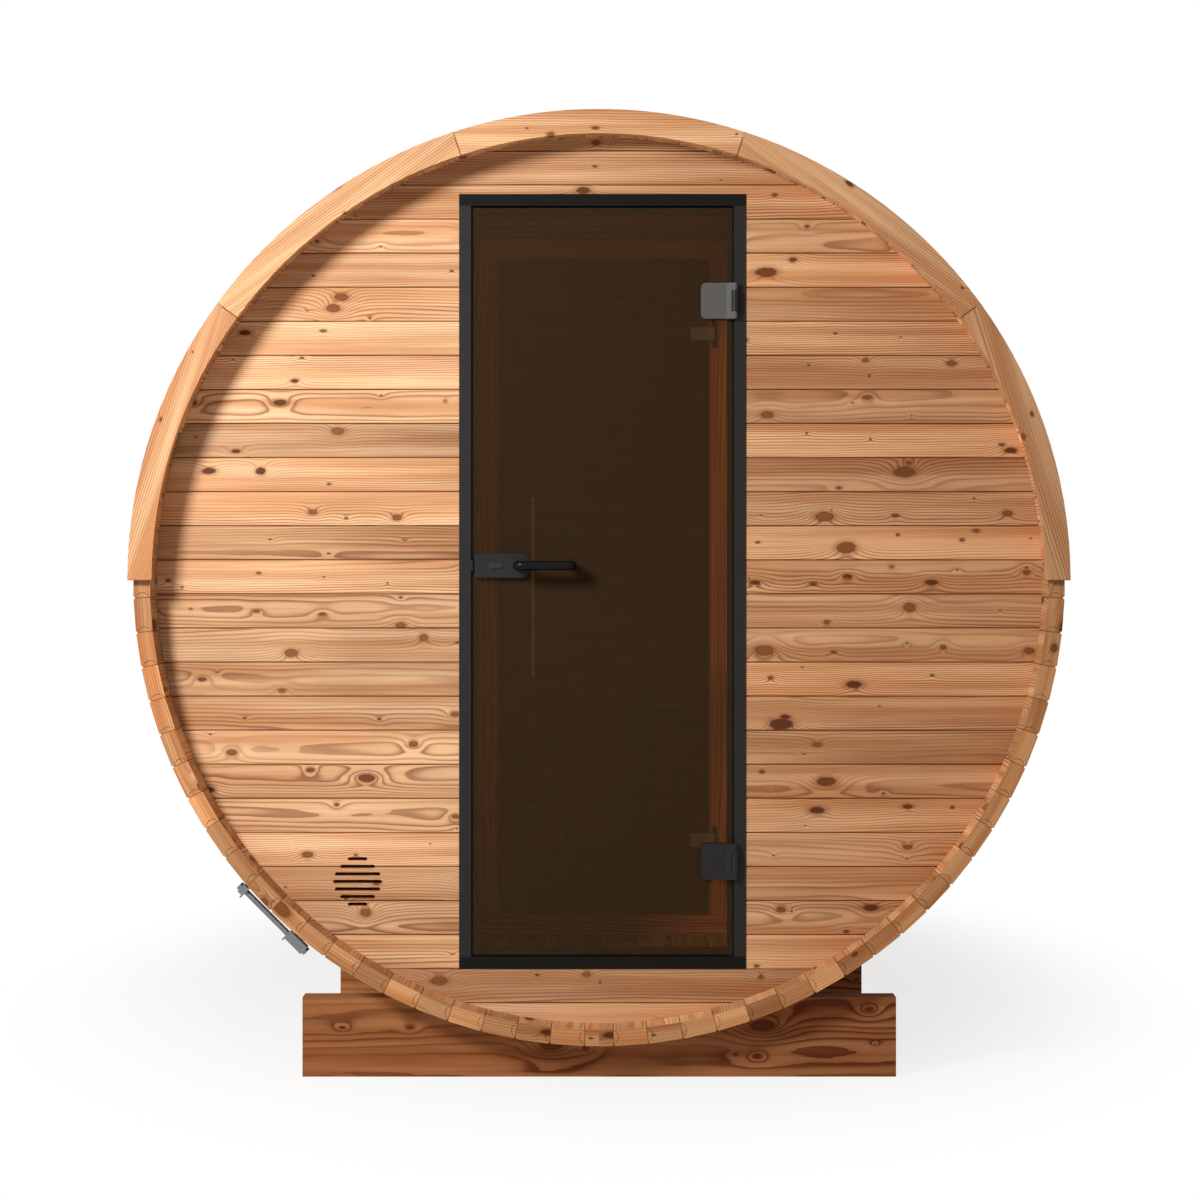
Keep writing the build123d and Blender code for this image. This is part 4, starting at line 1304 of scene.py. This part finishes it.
class SAUNA_OT_stage(bpy.types.Operator):
    """Sets the pale floor, the soft lamp, the room light and the camera"""

    bl_idname = "sauna.stage"
    bl_label = "Stage"

    def execute(self, context):
        scene = context.scene
        light = scene.sauna_stage
        self.lay_floor(scene)
        self.light_room(scene, light)
        camera = bpy.data.cameras.new("camera")
        camera.sensor_width = 36.0
        camera.lens = camera_lens
        camera.shift_x, camera.shift_y = (offset / photo_size for offset in view_offset)
        camera.clip_end = 200.0
        camera_object = bpy.data.objects.new("camera", camera)
        camera_object.location = camera_place
        camera_object.rotation_euler = (pi / 2, 0.0, 0.0)
        scene.collection.objects.link(camera_object)
        scene.camera = camera_object
        scene.view_settings.view_transform = "Standard"
        return {"FINISHED"}

    def lay_floor(self, scene):
        """A wide pale floor that fades to plain white away from the object, with its shadow kept."""
        half = stage_half
        corners = [(-half, -half, 0), (half, -half, 0), (half, half, 0), (-half, half, 0)]
        mesh = bpy.data.meshes.new("stage_floor")
        mesh.from_pydata(corners, [], [(0, 1, 2, 3)])
        floor = bpy.data.objects.new("stage_floor", mesh)
        scene.collection.objects.link(floor)
        paint(floor, stage_paper("stage_floor"))

    def light_room(self, scene, light):
        """White to the camera and in reflections, an even warm light on everything, and one lamp."""
        world = bpy.data.worlds.new("studio")
        world.use_nodes = True
        graph = Graph(world.node_tree)
        seen = graph.seen()
        strength = graph.add(
            "ShaderNodeMapRange", None, {"Value": seen, "To Min": light.room_light, "To Max": 1.0}
        )
        background = world.node_tree.nodes["Background"]
        graph.feed(background.inputs["Color"], graph.blend(seen, tuple(light.room_colour), white))
        graph.feed(background.inputs["Strength"], strength)
        scene.world = world
        lamp = bpy.data.lights.new("key_lamp", "AREA")
        lamp.shape = "DISK"
        lamp.size = lamp_size
        lamp.energy = light.key_power
        lamp_object = bpy.data.objects.new("key_lamp", lamp)
        lamp_object.location = lamp_place
        aim = Vector(lamp_aim) - lamp_object.location
        lamp_object.rotation_euler = aim.to_track_quat("-Z", "Y").to_euler()
        scene.collection.objects.link(lamp_object)


class SAUNA_PT_panel(bpy.types.Panel):
    """Lists the steps that dress the sauna"""

    bl_idname = "SAUNA_PT_panel"
    bl_label = "Barrel sauna"
    bl_space_type = "VIEW_3D"
    bl_region_type = "UI"
    bl_category = "Sauna"

    def draw(self, context):
        for group in (
            context.scene.sauna_wood,
            context.scene.sauna_boards,
            context.scene.sauna_fittings,
            context.scene.sauna_stage,
        ):
            box = self.layout.box()
            for name in group.__annotations__:
                box.prop(group, name)
        for operator in steps:
            self.layout.operator(operator.bl_idname)


groups = {
    "sauna_wood": SaunaWood,
    "sauna_boards": SaunaBoards,
    "sauna_fittings": SaunaFittings,
    "sauna_stage": SaunaStage,
}
steps = (
    SAUNA_OT_finishes,
    SAUNA_OT_front_wall,
    SAUNA_OT_inner_walls,
    SAUNA_OT_floor,
    SAUNA_OT_door_seals,
    SAUNA_OT_heater_stones,
    SAUNA_OT_band_fastenings,
    SAUNA_OT_door_fastenings,
    SAUNA_OT_stage,
)


def register():
    for group in groups.values():
        bpy.utils.register_class(group)
    for step in (*steps, SAUNA_PT_panel):
        bpy.utils.register_class(step)
    for name, group in groups.items():
        setattr(bpy.types.Scene, name, PointerProperty(type=group))


def unregister():
    for name in groups:
        delattr(bpy.types.Scene, name)
    for step in (SAUNA_PT_panel, *reversed(steps)):
        bpy.utils.unregister_class(step)
    for group in groups.values():
        bpy.utils.unregister_class(group)


def main():
    register()
    bpy.ops.sauna.finishes()
    bpy.ops.sauna.front_wall()
    bpy.ops.sauna.inner_walls()
    bpy.ops.sauna.floor()
    bpy.ops.sauna.door_seals()
    bpy.ops.sauna.heater_stones()
    bpy.ops.sauna.band_fastenings()
    bpy.ops.sauna.door_fastenings()
    bpy.ops.sauna.stage()


if __name__ == "__main__":
    main()
